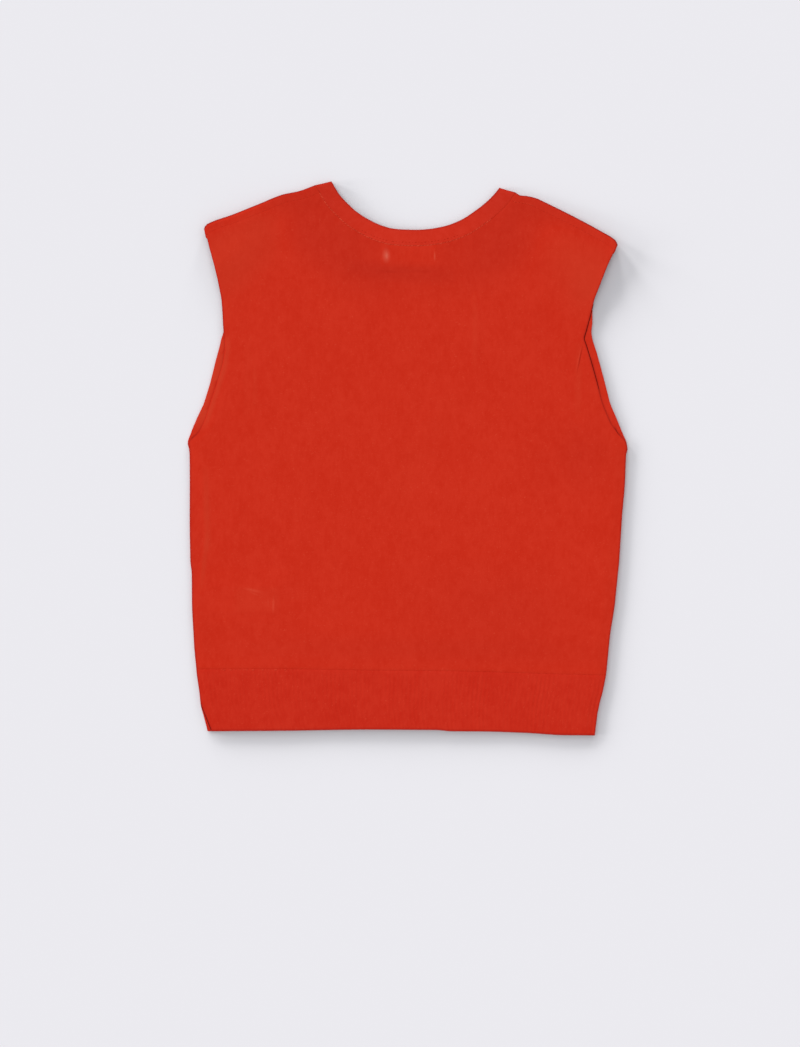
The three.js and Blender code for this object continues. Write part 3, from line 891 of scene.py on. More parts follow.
def choose(objects: Iterable[Object]) -> Object:
    """Selects objects and makes the first one active.

    Args:
        objects: what to select.

    Returns:
        The active object.
    """
    deselect()
    chosen = list(objects)
    for one in chosen:
        one.select_set(True)
    bpy.context.view_layer.objects.active = chosen[0]
    return chosen[0]


def apply_modifier(piece: Object, kind: str, **settings: Any) -> None:
    """Adds a modifier to a piece and applies it.

    Args:
        piece: the mesh object.
        kind: the modifier's type.
        **settings: its properties.
    """
    choose([piece])
    modifier = piece.modifiers.new(kind.title(), kind)
    for name, value in settings.items():
        setattr(modifier, name, value)
    bpy.ops.object.modifier_apply(modifier=modifier.name)


def lay_grid(net: Net, cloth: np.ndarray) -> Object:
    """Adds a grid primitive and lays its points on a net.

    Args:
        net: rows of points, in millimetres.
        cloth: place of each point in the cloth, in millimetres along and across the stitches.

    Returns:
        The new mesh object.
    """
    rows, columns = net.shape[:2]
    deselect()
    bpy.ops.mesh.primitive_grid_add(x_subdivisions=columns - 1, y_subdivisions=rows - 1, size=1.0)
    block = bpy.context.object
    block.data.vertices.foreach_set("co", to_scene(net).astype(np.float32).ravel())
    corners = np.zeros(len(block.data.loops), np.int32)
    block.data.loops.foreach_get("vertex_index", corners)
    places = (cloth.reshape(-1, 2) * MM)[corners]
    block.data.uv_layers[0].data.foreach_set("uv", places.astype(np.float32).ravel())
    block.data.update()
    return block


def join_cloth(name: str, blocks: list[Object]) -> Object:
    """Joins blocks of cloth along the edges that they share, and turns all faces one way.

    Args:
        name: name of the piece.
        blocks: the mesh objects.

    Returns:
        The joined piece.
    """
    piece = choose(blocks)
    if len(blocks) > 1:
        bpy.ops.object.join()
    piece.name = piece.data.name = name
    bpy.ops.object.mode_set(mode="EDIT")
    bpy.ops.mesh.select_all(action="SELECT")
    bpy.ops.mesh.remove_doubles(threshold=JOIN * MM)
    bpy.ops.mesh.normals_make_consistent(inside=False)
    bpy.ops.object.mode_set(mode="OBJECT")
    return piece


@dataclass(frozen=True)
class Rounding:
    """How the edges of a cloth wall are rounded, in millimetres."""

    open_edge: float = 0.56
    seam: float = 0.1
    segments: int = 3
    sharpest: float = 62.0  # only edges that turn by more than this, in degrees, are the wall's

    def soften(self, piece: Object, width: float, chosen: Callable[[Net], np.ndarray]) -> None:
        """Rounds the wall's edges in one stretch.

        Args:
            piece: the mesh object.
            width: width of the rounding.
            chosen: says which edges it takes, from the plan points of their middles.
        """
        choose([piece])
        bpy.ops.object.mode_set(mode="EDIT")
        bpy.ops.mesh.select_mode(type="EDGE")
        bpy.ops.mesh.select_all(action="DESELECT")
        bpy.ops.mesh.edges_select_sharp(sharpness=math.radians(self.sharpest))
        bpy.ops.object.mode_set(mode="OBJECT")
        mesh = piece.data
        points = np.zeros(len(mesh.vertices) * 3, np.float32)
        mesh.vertices.foreach_get("co", points)
        ends = np.zeros(len(mesh.edges) * 2, np.int32)
        mesh.edges.foreach_get("vertices", ends)
        sharp = np.zeros(len(mesh.edges), bool)
        mesh.edges.foreach_get("select", sharp)
        middles = points.reshape(-1, 3)[ends.reshape(-1, 2)].mean(axis=1) / MM - DATUM
        wanted = sharp & chosen(middles)
        mesh.vertices.foreach_set("select", np.zeros(len(mesh.vertices), bool))
        mesh.polygons.foreach_set("select", np.zeros(len(mesh.polygons), bool))
        mesh.edges.foreach_set("select", wanted)
        bpy.ops.object.mode_set(mode="EDIT")
        bpy.ops.mesh.bevel(offset=width * MM, segments=self.segments, affect="EDGES", clamp_overlap=True)
        bpy.ops.object.mode_set(mode="OBJECT")

    def finish(
        self, piece: Object, wall: float, seams: Callable[[Net], np.ndarray] | None = None
    ) -> None:
        """Gives a sheet its wall, rounds the wall's edges and shades it smooth.

        Args:
            piece: an open sheet.
            wall: thickness, in millimetres.
            seams: says which edges are sewn to another piece, from the plan points of their middles.
        """
        apply_modifier(piece, "SOLIDIFY", thickness=wall * MM, offset=0.0)
        if seams is None:
            self.soften(piece, self.open_edge, lambda middles: np.ones(len(middles), bool))
        else:
            self.soften(piece, self.open_edge, lambda middles: ~seams(middles))
            self.soften(piece, self.seam, seams)
        choose([piece])
        bpy.ops.object.shade_smooth()


def linear(sheet_colour: str) -> tuple[float, float, float, float]:
    """An sRGB hex colour as linear light.

    Args:
        sheet_colour: six hex digits.

    Returns:
        Red, green, blue and alpha.
    """
    parts = [int(sheet_colour[i:i + 2], 16) / 255 for i in (0, 2, 4)]
    return *(c / 12.92 if c <= 0.04045 else ((c + 0.055) / 1.055) ** 2.4 for c in parts), 1.0


def start_material(name: str) -> tuple[Material, NodeTree, Node]:
    """Makes a material that is built from nodes.

    Args:
        name: name of the material.

    Returns:
        The material, its node tree and its shader.
    """
    material = bpy.data.materials.new(name)
    material.use_nodes = True
    return material, material.node_tree, material.node_tree.nodes["Principled BSDF"]


def add_node(
    tree: NodeTree, kind: str, inputs: dict | None = None, **settings: Any
) -> Node:
    """Adds a node with its settings and links.

    Args:
        tree: the material's node tree.
        kind: the node's type, without its first words.
        inputs: for each input socket, by name or number, a value or the output socket that feeds it.
        **settings: the node's properties.

    Returns:
        The new node.
    """
    node = tree.nodes.new(f"ShaderNode{kind}")
    for name, value in settings.items():
        setattr(node, name, value)
    for socket, value in (inputs or {}).items():
        if isinstance(value, NodeSocket):
            tree.links.new(value, node.inputs[socket])
        else:
            node.inputs[socket].default_value = value
    return node


@dataclass(frozen=True)
class Mark:
    """A soft streak or patch on the cloth from one point to another, in millimetres of the plan."""

    x0: float
    y0: float
    x1: float
    y1: float
    width: float
    tint: str
    strength: float
    height: float = 0.0

    def amount(self, tree: NodeTree, place: NodeSocket) -> NodeSocket:
        """How strong the mark is at a place.

        Args:
            tree: the material's node tree.
            place: the place in the cloth, in millimetres.

        Returns:
            The socket that carries the amount, from 0 to the mark's strength.
        """
        way = (self.x1 - self.x0, self.y1 - self.y0)
        middle = ((self.x0 + self.x1) / 2 + DATUM[0], (self.y0 + self.y1) / 2 + DATUM[1], 0)
        any_height = 1000.0
        settings = {
            "Vector": place,
            "Location": middle,
            "Rotation": (0, 0, math.atan2(way[1], way[0])),
            "Scale": (math.hypot(*way) / 2 + self.width / 2, self.width / 2, any_height),
        }
        mapped = add_node(tree, "Mapping", settings, vector_type="TEXTURE")
        ball = add_node(tree, "TexGradient", {"Vector": mapped.outputs[0]}, gradient_type="SPHERICAL")
        inputs = {"Value": ball.outputs["Fac"], "To Max": self.strength}
        return add_node(tree, "MapRange", inputs, interpolation_type="SMOOTHSTEP").outputs[0]


@dataclass(frozen=True)
class Yarn:
    """A knitted finish: the yarn's colours, the size of its stitches and how the light takes it.

    The real garment is a viscose and nylon blend spun smooth and knitted at about 14 needles to the inch.
    It is matt from above, a little lighter along its edges from the fuzz, and its colour wavers softly from
    the uneven twist.
    """

    name: str
    colour: str  # the yarn in the light
    hollow: str  # the yarn between the stitches, drawn darker as painted shade in the hollows
    fleck: str = "dc5138"  # fibre ends that stand up
    pale: str = "cc3c25"  # painted light, mixed in where the tone is above 0
    deep: str = "8a1816"  # painted shade, mixed in where the tone is below 0
    wale: float = 2.1  # width of a stitch, drawn a quarter coarser than 14 gauge so that it shows
    course: float = 1.6  # height of a stitch, drawn as coarse
    relief: float = 0.08  # height of a stitch over the hollow beside it, in millimetres
    slant: float = 0.55  # how far a leg of a stitch leans, in courses
    loop_swell: float = 0.25  # how far the height swells and sinks along a leg
    fullness: float = 0.6  # below 1, a leg's rounding is fuller than half a wave
    cloudy: float = 0.8  # how far blotches move the colour
    roughness: float = 0.9
    sheen: float = 0.06
    gloss: float = 0.06  # specular level of a dyed matt yarn
    follows_cloth: bool = False  # read the piece's own map instead of its place on the table
    marks: tuple[Mark, ...] = ()

    def material(self) -> Material:
        """Makes the material.

        Returns:
            A new material with its nodes.
        """
        material, tree, shader = start_material(self.name)
        place = self.place(tree)
        stitch = self.stitches(tree, place)
        colour = self.colouring(tree, place, stitch)
        height = add_node(tree, "Math", {0: stitch, 1: self.relief * MM}, operation="MULTIPLY").outputs[0]
        for mark in self.marks:
            amount = mark.amount(tree, place)
            mixed = {"Factor": amount, MIX_FROM: colour, MIX_TO: linear(mark.tint)}
            colour = add_node(tree, "Mix", mixed, data_type="RGBA").outputs[MIXED]
            raised = {0: amount, 1: mark.height * MM, 2: height}
            height = add_node(tree, "Math", raised, operation="MULTIPLY_ADD").outputs[0]
        bump = add_node(tree, "Bump", {"Height": height, "Strength": 1.0, "Distance": 1.0})
        tree.links.new(colour, shader.inputs["Base Color"])
        tree.links.new(bump.outputs["Normal"], shader.inputs["Normal"])
        shader.inputs["Roughness"].default_value = self.roughness
        shader.inputs["Specular IOR Level"].default_value = self.gloss
        shader.inputs["Sheen Weight"].default_value = self.sheen
        shader.inputs["Sheen Roughness"].default_value = 0.5
        shader.inputs["Sheen Tint"].default_value = linear(self.fleck)
        return material

    def place(self, tree: NodeTree) -> NodeSocket:
        """The place in the cloth, in millimetres.

        Args:
            tree: the material's node tree.

        Returns:
            The socket that carries it.
        """
        if self.follows_cloth:
            source = add_node(tree, "UVMap", uv_map="UVMap").outputs["UV"]
        else:
            source = add_node(tree, "TexCoord").outputs["Object"]
        return add_node(tree, "VectorMath", {0: source, "Scale": 1 / MM}, operation="SCALE").outputs[0]

    def stitches(self, tree: NodeTree, place: NodeSocket) -> NodeSocket:
        """Height of the V-shaped stitches: two leaning legs in each wale.

        Args:
            tree: the material's node tree.
            place: the place in the cloth, in millimetres.

        Returns:
            The socket that carries the height, from 0 to 1.
        """
        axes = add_node(tree, "SeparateXYZ", {0: place}).outputs
        found = {"x": axes["X"], "y": axes["Y"]}
        steps = (
            ("wale", "DIVIDE", "x", self.wale),
            ("fold", "PINGPONG", "wale", 0.5),
            ("lean", "MULTIPLY", "fold", 2 * self.slant),
            ("row", "DIVIDE", "y", self.course),
            ("course", "ADD", "row", "lean"),
            ("wale_turn", "MULTIPLY", "wale", math.tau),
            ("leg_wave", "SINE", "wale_turn"),
            ("leg", "ABSOLUTE", "leg_wave"),
            ("course_turn", "MULTIPLY", "course", math.tau),
            ("loop", "SINE", "course_turn"),
            ("rounded", "MULTIPLY_ADD", "loop", self.loop_swell, 1 - self.loop_swell),
            ("crown", "POWER", "leg", self.fullness),
            ("stitch", "MULTIPLY", "crown", "rounded"),
        )
        for result, operation, *values in steps:
            inputs = {number: found.get(value, value) for number, value in enumerate(values)}
            found[result] = add_node(tree, "Math", inputs, operation=operation).outputs[0]
        return found["stitch"]

    def colouring(
        self, tree: NodeTree, place: NodeSocket, stitch: NodeSocket
    ) -> NodeSocket:
        """The yarn's colour, darker in the hollows as painted shade, with soft blotches, a few flecks and
        the painted light and shade of the tone.

        Args:
            tree: the material's node tree.
            place: the place in the cloth, in millimetres.
            stitch: the stitches' height.

        Returns:
            The socket that carries the colour.
        """
        # The tone carries the painted light and shade written on the piece
        tone = add_node(tree, "Attribute", attribute_name="tone").outputs["Fac"]
        # What each source is, the range of it that counts, and the shares that it gives
        scales = [
            (stitch, (0.0, 1.0), (0.35, 0.65)),
            (tone, (0.0, 1.0), (0.0, 1.0)),
            (tone, (0.0, -1.9), (0.0, 1.0)),
        ]
        # Noise: size of its blotches in millimetres, detail, and how far they are drawn out along the wales
        noises = (
            (2.6, 2.0, 2.6, (0.3, 0.7), (-0.34, 0.34)),
            (8.0, 2.0, 1.3, (0.3, 0.7), (-self.cloudy / 2, self.cloudy / 2)),
            (60.0, 1.0, 1.0, (0.3, 0.7), (-self.cloudy / 4, self.cloudy / 4)),
            (1.5, 1.0, 1.0, (0.66, 0.78), (0.0, 0.35)),
        )
        for size, detail, drawn_out, counts, gives in noises:
            along = {0: place, 1: (1.0, 1.0 / drawn_out, 1.0)}
            source = add_node(tree, "VectorMath", along, operation="MULTIPLY").outputs[0]
            inputs = {"Vector": source, "Scale": 1 / size, "Detail": detail, "Roughness": 0.6}
            scales.append((add_node(tree, "TexNoise", inputs).outputs["Fac"], counts, gives))
        shares = []
        for source, (low, high), (least, most) in scales:
            inputs = {"Value": source, "From Min": low, "From Max": high, "To Min": least, "To Max": most}
            shares.append(add_node(tree, "MapRange", inputs).outputs[0])
        total, paler, deeper, *blotches, fleck = shares
        for blotch in blotches:
            total = add_node(tree, "Math", {0: total, 1: blotch}, operation="ADD").outputs[0]
        colour = linear(self.hollow)
        layers = ((total, self.colour), (fleck, self.fleck), (paler, self.pale), (deeper, self.deep))
        for factor, tint in layers:
            mixed = {"Factor": factor, MIX_FROM: colour, MIX_TO: linear(tint)}
            colour = add_node(tree, "Mix", mixed, data_type="RGBA").outputs[MIXED]
        return colour


@dataclass(frozen=True)
class Tape:
    """Satin-woven polyester label tape: smooth, pale and a little glossy along the warp."""

    name: str
    colour: str
    between: str = "d9d4ca"  # the shade between the threads
    thread: float = 0.5  # spacing of the threads in millimetres, drawn coarser so that they show
    height: float = 0.05  # of a thread, in millimetres
    roughness: float = 0.45

    def material(self) -> Material:
        """Makes the material.

        Returns:
            A new material with its nodes.
        """
        material, tree, shader = start_material(self.name)
        place = add_node(tree, "UVMap", uv_map="UVMap")
        scale = 1 / (self.thread * MM) / math.tau
        weave = {"Vector": place.outputs["UV"], "Scale": scale, "Distortion": 0.4}
        wave = add_node(tree, "TexWave", weave, bands_direction="Y").outputs["Fac"]
        bump = add_node(tree, "Bump", {"Height": wave, "Strength": 0.3, "Distance": self.height * MM})
        shade = {"Factor": wave, MIX_FROM: linear(self.between), MIX_TO: linear(self.colour)}
        tint = add_node(tree, "Mix", shade, data_type="RGBA")
        tree.links.new(tint.outputs[MIXED], shader.inputs["Base Color"])
        tree.links.new(bump.outputs["Normal"], shader.inputs["Normal"])
        shader.inputs["Roughness"].default_value = self.roughness
        return material


@dataclass(frozen=True)
class Foam:
    """Polyether foam faced with the garment's own jersey, fine-pored and quite matt."""

    name: str
    colour: str
    hollow: str = "8f2114"  # inside the pores, drawn darker as painted shade
    pore: float = 0.8  # width of a pore in millimetres
    depth: float = 0.1  # of a pore, in millimetres
    roughness: float = 0.95
    gloss: float = 0.1

    def material(self) -> Material:
        """Makes the material.

        Returns:
            A new material with its nodes.
        """
        material, tree, shader = start_material(self.name)
        place = add_node(tree, "TexCoord").outputs["Object"]
        pores = add_node(tree, "TexVoronoi", {"Vector": place, "Scale": 1 / (self.pore * MM)})
        wall = pores.outputs["Distance"]
        shade = {"Factor": wall, MIX_FROM: linear(self.hollow), MIX_TO: linear(self.colour)}
        tint = add_node(tree, "Mix", shade, data_type="RGBA")
        bump = add_node(tree, "Bump", {"Height": wall, "Strength": 0.4, "Distance": self.depth * MM})
        tree.links.new(tint.outputs[MIXED], shader.inputs["Base Color"])
        tree.links.new(bump.outputs["Normal"], shader.inputs["Normal"])
        shader.inputs["Roughness"].default_value = self.roughness
        shader.inputs["Specular IOR Level"].default_value = self.gloss
        return material


@dataclass(frozen=True)
class Paper:
    """Matt seamless background paper, cool white, whose fine fibre doesn't show at this distance."""

    name: str = "seamless_paper"
    colour: str = "ebeaee"
    fibre: float = 0.6  # width of a tuft of fibres in millimetres
    height: float = 0.01  # of a tuft

    def material(self) -> Material:
        """Makes the material.

        Returns:
            A new material with its nodes.
        """
        material, tree, shader = start_material(self.name)
        place = add_node(tree, "TexCoord").outputs["Object"]
        fibres = add_node(tree, "TexNoise", {"Vector": place, "Scale": 1 / (self.fibre * MM)})
        relief = {"Height": fibres.outputs["Fac"], "Strength": 0.2, "Distance": self.height * MM}
        bump = add_node(tree, "Bump", relief)
        tree.links.new(bump.outputs["Normal"], shader.inputs["Normal"])
        shader.inputs["Base Color"].default_value = linear(self.colour)
        shader.inputs["Roughness"].default_value = 1.0
        shader.inputs["Specular IOR Level"].default_value = 0.0
        return material


RED = "cd301c"
RED_HOLLOW = "c82a16"
# Marks on the back: the pale ends of the neck label, partly its white showing through and partly painted
# highlight on the creases there; painted shade under the neck label; painted highlight and painted shade on
# the two sides of the crease at the right armhole; and lighter lines along the care label's edges
BACK_MARKS = (
    # The neck label's ends: its white showing through, with painted highlight on the creases
    Mark(-22.4, 211.5, -22.1, 203.0, 11.0, "e2705a", 0.38),
    Mark(-21.8, 209.5, -21.6, 204.5, 4.0, "eb8c76", 0.18),
    Mark(27.0, 212.0, 27.3, 201.0, 2.8, "e0634a", 0.36, 0.05),
    # Painted shade in a broken row under the neck label
    Mark(-34.0, 191.2, -4.0, 190.2, 4.0, "a81a0b", 0.2, -0.08),
    Mark(-8.0, 191.0, 34.0, 190.6, 3.5, "a81a0b", 0.14, -0.08),
    # Painted highlight and painted shade on the two sides of the crease at the right armhole
    Mark(177.6, 119.0, 170.0, 86.0, 2.6, "d9462f", 0.34, 0.08),
    Mark(179.2, 121.4, 171.6, 84.5, 2.2, "991407", 0.64, -0.12),
    Mark(-168.0, -131.5, -148.0, -136.0, 5.0, "dc523a", 0.32, 0.06),
    Mark(-163.0, -134.8, -150.0, -140.0, 2.4, "dc523a", 0.2, 0.05),
    Mark(-136.7, -138.0, -137.7, -158.5, 3.6, "dc523a", 0.34, 0.06),
    Mark(-143.0, -141.5, -142.0, -151.0, 3.0, "dc523a", 0.16),
)
BODY_YARN = Yarn("viscose_jersey_back", RED, RED_HOLLOW, marks=BACK_MARKS)
FRONT_YARN = Yarn("viscose_jersey_front", RED, RED_HOLLOW, follows_cloth=True)
BAND_YARN = Yarn("viscose_double_knit", "ce3220", "c92c19", wale=2.3, relief=0.1, follows_cloth=True)
RIB_YARN = Yarn("viscose_rib", "ca2e1c", "c42716", relief=0.1)


def strand_yarn(name: str, *colours: str) -> Yarn:
    """Yarn that is seen strand by strand, so its relief is finer than a stitch's."""
    return Yarn(name, *colours, wale=0.9, course=0.7, relief=0.05)


LINKING_YARN = strand_yarn("viscose_linking_yarn", "d94a33", "cf3d28")
SAME_YARN = strand_yarn("viscose_linking_in_shade", RED, RED_HOLLOW)
FAINT_YARN = strand_yarn("viscose_linking_faint", "d43f29", RED)
# Needle holes of the linking, where each loop dips in, drawn darker as painted shade in the holes
HOLE_YARN = strand_yarn("viscose_sunk_loops_painted_shade", "bf2917", "b62210", "bf2917")
# Painted shadow: dark yarn for a roll laid under the back's edge, standing for the shade in the gap between
# the layers
SHADOW_GAP_YARN = strand_yarn("viscose_painted_shadow_gap", "780c05", "5a0703", "881a0e")


class SewnPiece:
    """A piece of the garment: it builds its mesh, is dressed in its finish and rides the garment."""

    name: str
    slot: str
    finish: Any
    node: str | None
    relief: Relief
    toned: ClassVar[bool] = False

    def build(self) -> Object:
        """Models the piece in the part's frame."""
        raise NotImplementedError

    def declare(self, piece: Object) -> None:
        """Called once the piece is fastened to the garment; here it does nothing."""

    def make(self) -> Object:
        """Builds and dresses the piece and fastens it to the garment.

        Returns:
            The finished object.
        """
        piece = self.build()
        piece.data.materials.clear()
        piece.data.materials.append(self.finish.material())
        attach(piece, BODY)
        if self.node:
            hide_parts(self.node)
        self.declare(piece)
        if self.toned:
            Tone(self.relief).note(piece)
        piece.data.calc_loop_triangles()
        log.info("%s: %d triangles", piece.name, len(piece.data.loop_triangles))
        return piece


def plan_area(blocks: list[np.ndarray]) -> float:
    """Area of flat cloth in blocks of plan points.

    Args:
        blocks: rows of plan points.

    Returns:
        The area in square metres.
    """
    total = 0.0
    for rows in blocks:
        one, other = rows[1:, 1:] - rows[:-1, :-1], rows[1:, :-1] - rows[:-1, 1:]
        total += np.abs(one[..., 0] * other[..., 1] - one[..., 1] * other[..., 0]).sum() / 2
    return float(total) * MM * MM


@dataclass
class BackPanel(SewnPiece):
    """The back: jersey from the hem seam to the shoulder seams and the neckband seam."""

    cut: Cut
    relief: Relief
    toned: ClassVar[bool] = True
    name: str = "back_panel"
    node: str = "back"
    slot: str = "knit"
    finish: Yarn = BODY_YARN
    spaces: tuple[int, ...] = (108, 52, 21, 34)
    shoulder_spaces: int = 62
    neck_spaces: int = 150
    rounding: Rounding = Rounding()
    width: float = 448.0
    length: float = 494.0

    def plan(self) -> list[np.ndarray]:
        """The three blocks of the panel in plan.

        Returns:
            Rows of plan points, for each block.
        """
        inset = self.cut.wrap + self.cut.seam_gap
        edges = {side: self.cut.stations(side, self.shoulder_spaces).inward(inset) for side in Side}
        edges[Side.RIGHT] = edges[Side.RIGHT][::-1]
        angles = self.cut.back_neck(1.0, self.neck_spaces)[1:-1]
        neck = self.cut.on_neck(self.cut.seam_radius + self.cut.seam_gap, angles)
        return self.cut.panel("back", edges, neck, self.spaces)

    def build(self) -> Object:
        """Models the panel as one sheet with a rounded wall.

        Returns:
            The panel.
        """
        blocks = [lay_grid(self.relief.on_top(rows), rows) for rows in self.plan()]
        piece = join_cloth(self.name, blocks)
        self.rounding.finish(piece, self.cut.jersey, self.is_seam)
        return piece

    def is_seam(self, middles: Net) -> np.ndarray:
        """Which edges are linked to another piece: all but the sides and the armholes."""
        x, y = middles[:, 0], middles[:, 1]
        return (self.relief.inside(x, y) > NEAR) | (y < HEM.read("seam", x) + NEAR)

    def declare(self, piece: Object) -> None:
        """Works out the panel's area in plan, and keeps nothing of it.

        Args:
            piece: the finished mesh; not used.
        """
        plan_area(self.plan())


@dataclass
class FrontPanel(SewnPiece):
    """The front: it lies on the table, and wraps round each shoulder fold to its seam on the back."""

    cut: Cut
    relief: Relief
    toned: ClassVar[bool] = True
    name: str = "front_panel"
    node: str = "front"
    slot: str = "knit"
    finish: Yarn = FRONT_YARN
    spaces: tuple[int, ...] = (46, 36, 20, 16)
    shoulder_spaces: int = 40
    neck_spaces: int = 60
    fold_steps: int = 14
    wrap_rows: int = 6
    beside_fold: float = 3.0
    rounding: Rounding = Rounding()
    width: float = 448.0
    length: float = 512.0
    fold_length: float = 113.0  # mean length of a shoulder fold
    edge_lift: float = 1.15  # the front's open edge rises towards the back, which hides all but a sliver
    edge_lift_reach: float = 26.0
    armhole_foot: Ramp = Ramp(20.0, 45.0)
    armhole_top: Ramp = Ramp(175.0, 205.0)

    def inside(self, x: Value, y: Value) -> Value:
        """Distance in from the nearer side of the front."""
        return np.minimum(x - SIDES.read("front_left", y), SIDES.read("front_right", y) - x)

    def lower(self, points: Points) -> Net:
        """Lays plan points on the table, with the armholes' open edges a little raised.

        Args:
            points: plan points.

        Returns:
            The points with their heights.
        """
        x, y = points[..., 0], points[..., 1]
        open_edge = self.armhole_foot.rise(y) * self.armhole_top.fall(y)
        beside = 1 - smooth(self.inside(x, y) / self.edge_lift_reach)
        z = self.cut.jersey / 2 + self.edge_lift * open_edge * beside
        return np.concatenate([points, z[..., None]], axis=-1)

    def half_turn(self, stations: Stations) -> tuple[np.ndarray, Net]:
        """The half turn of a shoulder fold, from the table up to the upper layer.

        Args:
            stations: places along the fold.

        Returns:
            Distance of the fold's axis from the folded edge, and for each station its points.
        """
        wall = self.cut.jersey
        beside = stations.inward(self.beside_fold)
        radius = (self.relief.top(beside[:, 0], beside[:, 1]) - wall / 2) / 2
        axis = radius + wall / 2
        share = np.linspace(0.0, 1.0, self.fold_steps + 1)
        turn = math.pi * (share - 0.5)
        way = lerp(stations.under[:, None], stations.run[:, None], share[None, :, None])
        reach = axis[:, None] - radius[:, None] * np.cos(turn)
        plan = stations.edge[:, None] + way * reach[..., None]
        z = wall / 2 + radius[:, None] * (1 + np.sin(turn))
        return axis, np.concatenate([plan, z[..., None]], axis=-1)

    def strip(self, side: Side) -> Net:
        """A shoulder's strip: the half turn, then the part that lies on the back.

        Args:
            side: which shoulder.

        Returns:
            A row of points for each station.
        """
        stations = self.cut.stations(side, self.shoulder_spaces)
        axis, turn = self.half_turn(stations)
        shares = np.linspace(0.0, 1.0, self.wrap_rows + 1)[1:]
        laid = [self.relief.on_top(stations.inward(lerp(axis, self.cut.wrap, share))) for share in shares]
        return np.concatenate([turn, np.stack(laid, axis=1)], axis=1)

    def plan(self, strips: dict[Side, Net]) -> list[np.ndarray]:
        """The three blocks of the panel that lie on the table, in plan.

        Args:
            strips: the strips of both shoulders.

        Returns:
            Rows of plan points, for each block.
        """
        feet = {side: strip[:, 0, :2] for side, strip in strips.items()}
        feet[Side.RIGHT] = feet[Side.RIGHT][::-1]
        neck = self.cut.on_front_neck(1.0, self.cut.front_turns(self.neck_spaces), self.cut.seam_gap)
        return self.cut.panel("front", feet, neck, self.spaces)

    def build(self) -> Object:
        """Models the panel as one sheet with a rounded wall.

        Returns:
            The panel.
        """
        strips = {side: self.strip(side) for side in Side}
        blocks = []
        for rows in self.plan(strips):
            blocks.append(lay_grid(self.match_feet(self.lower(rows), strips), rows))
        for strip in strips.values():
            along = np.broadcast_to(strip[:, :1, :2], strip.shape[:2] + (2,)).copy()
            run = np.linalg.norm(np.diff(strip, axis=1), axis=2)
            along[:, 1:, 1] += np.cumsum(run, axis=1)
            blocks.append(lay_grid(strip, along))
        piece = join_cloth(self.name, blocks)
        self.rounding.finish(piece, self.cut.jersey, self.is_seam)
        return piece

    def is_seam(self, middles: Net) -> np.ndarray:
        """Which edges are linked to another piece: all but the sides and the armholes.

        Args:
            middles: plan points of the edges' middles.

        Returns:
            True for each edge that is linked.
        """
        x, y, z = middles.T
        wrapped = (z > self.cut.jersey + NEAR) & (self.relief.inside(x, y) > NEAR)
        return (self.inside(x, y) > NEAR) | (y < HEM.read("seam", x) + NEAR) | wrapped

    def match_feet(self, net: Net, strips: dict[Side, Net]) -> Net:
        """Brings the block's points that meet a strip's foot to exactly the strip's height.

        Args:
            net: the block's rows of points.
            strips: the strips of both shoulders.

        Returns:
            The same net.
        """
        feet = np.concatenate([strip[:, 0] for strip in strips.values()])
        for row in (0, -1):
            for point in net[row]:
                near = np.linalg.norm(feet[:, :2] - point[:2], axis=1)
                if near.min() < JOIN:
                    point[2] = feet[near.argmin(), 2]
        return net

    def declare(self, piece: Object) -> None:
        """Works out the panel's area in plan with its wrapped strips, and keeps nothing of it.

        Args:
            piece: the finished mesh; not used.
        """
        strips = {side: self.strip(side) for side in Side}
        wraps = sum(np.linalg.norm(np.diff(s, axis=1), axis=2).sum(axis=1).mean() for s in strips.values())
        wrapped = wraps * self.fold_length * MM * MM
        plan_area(self.plan(strips)) + wrapped


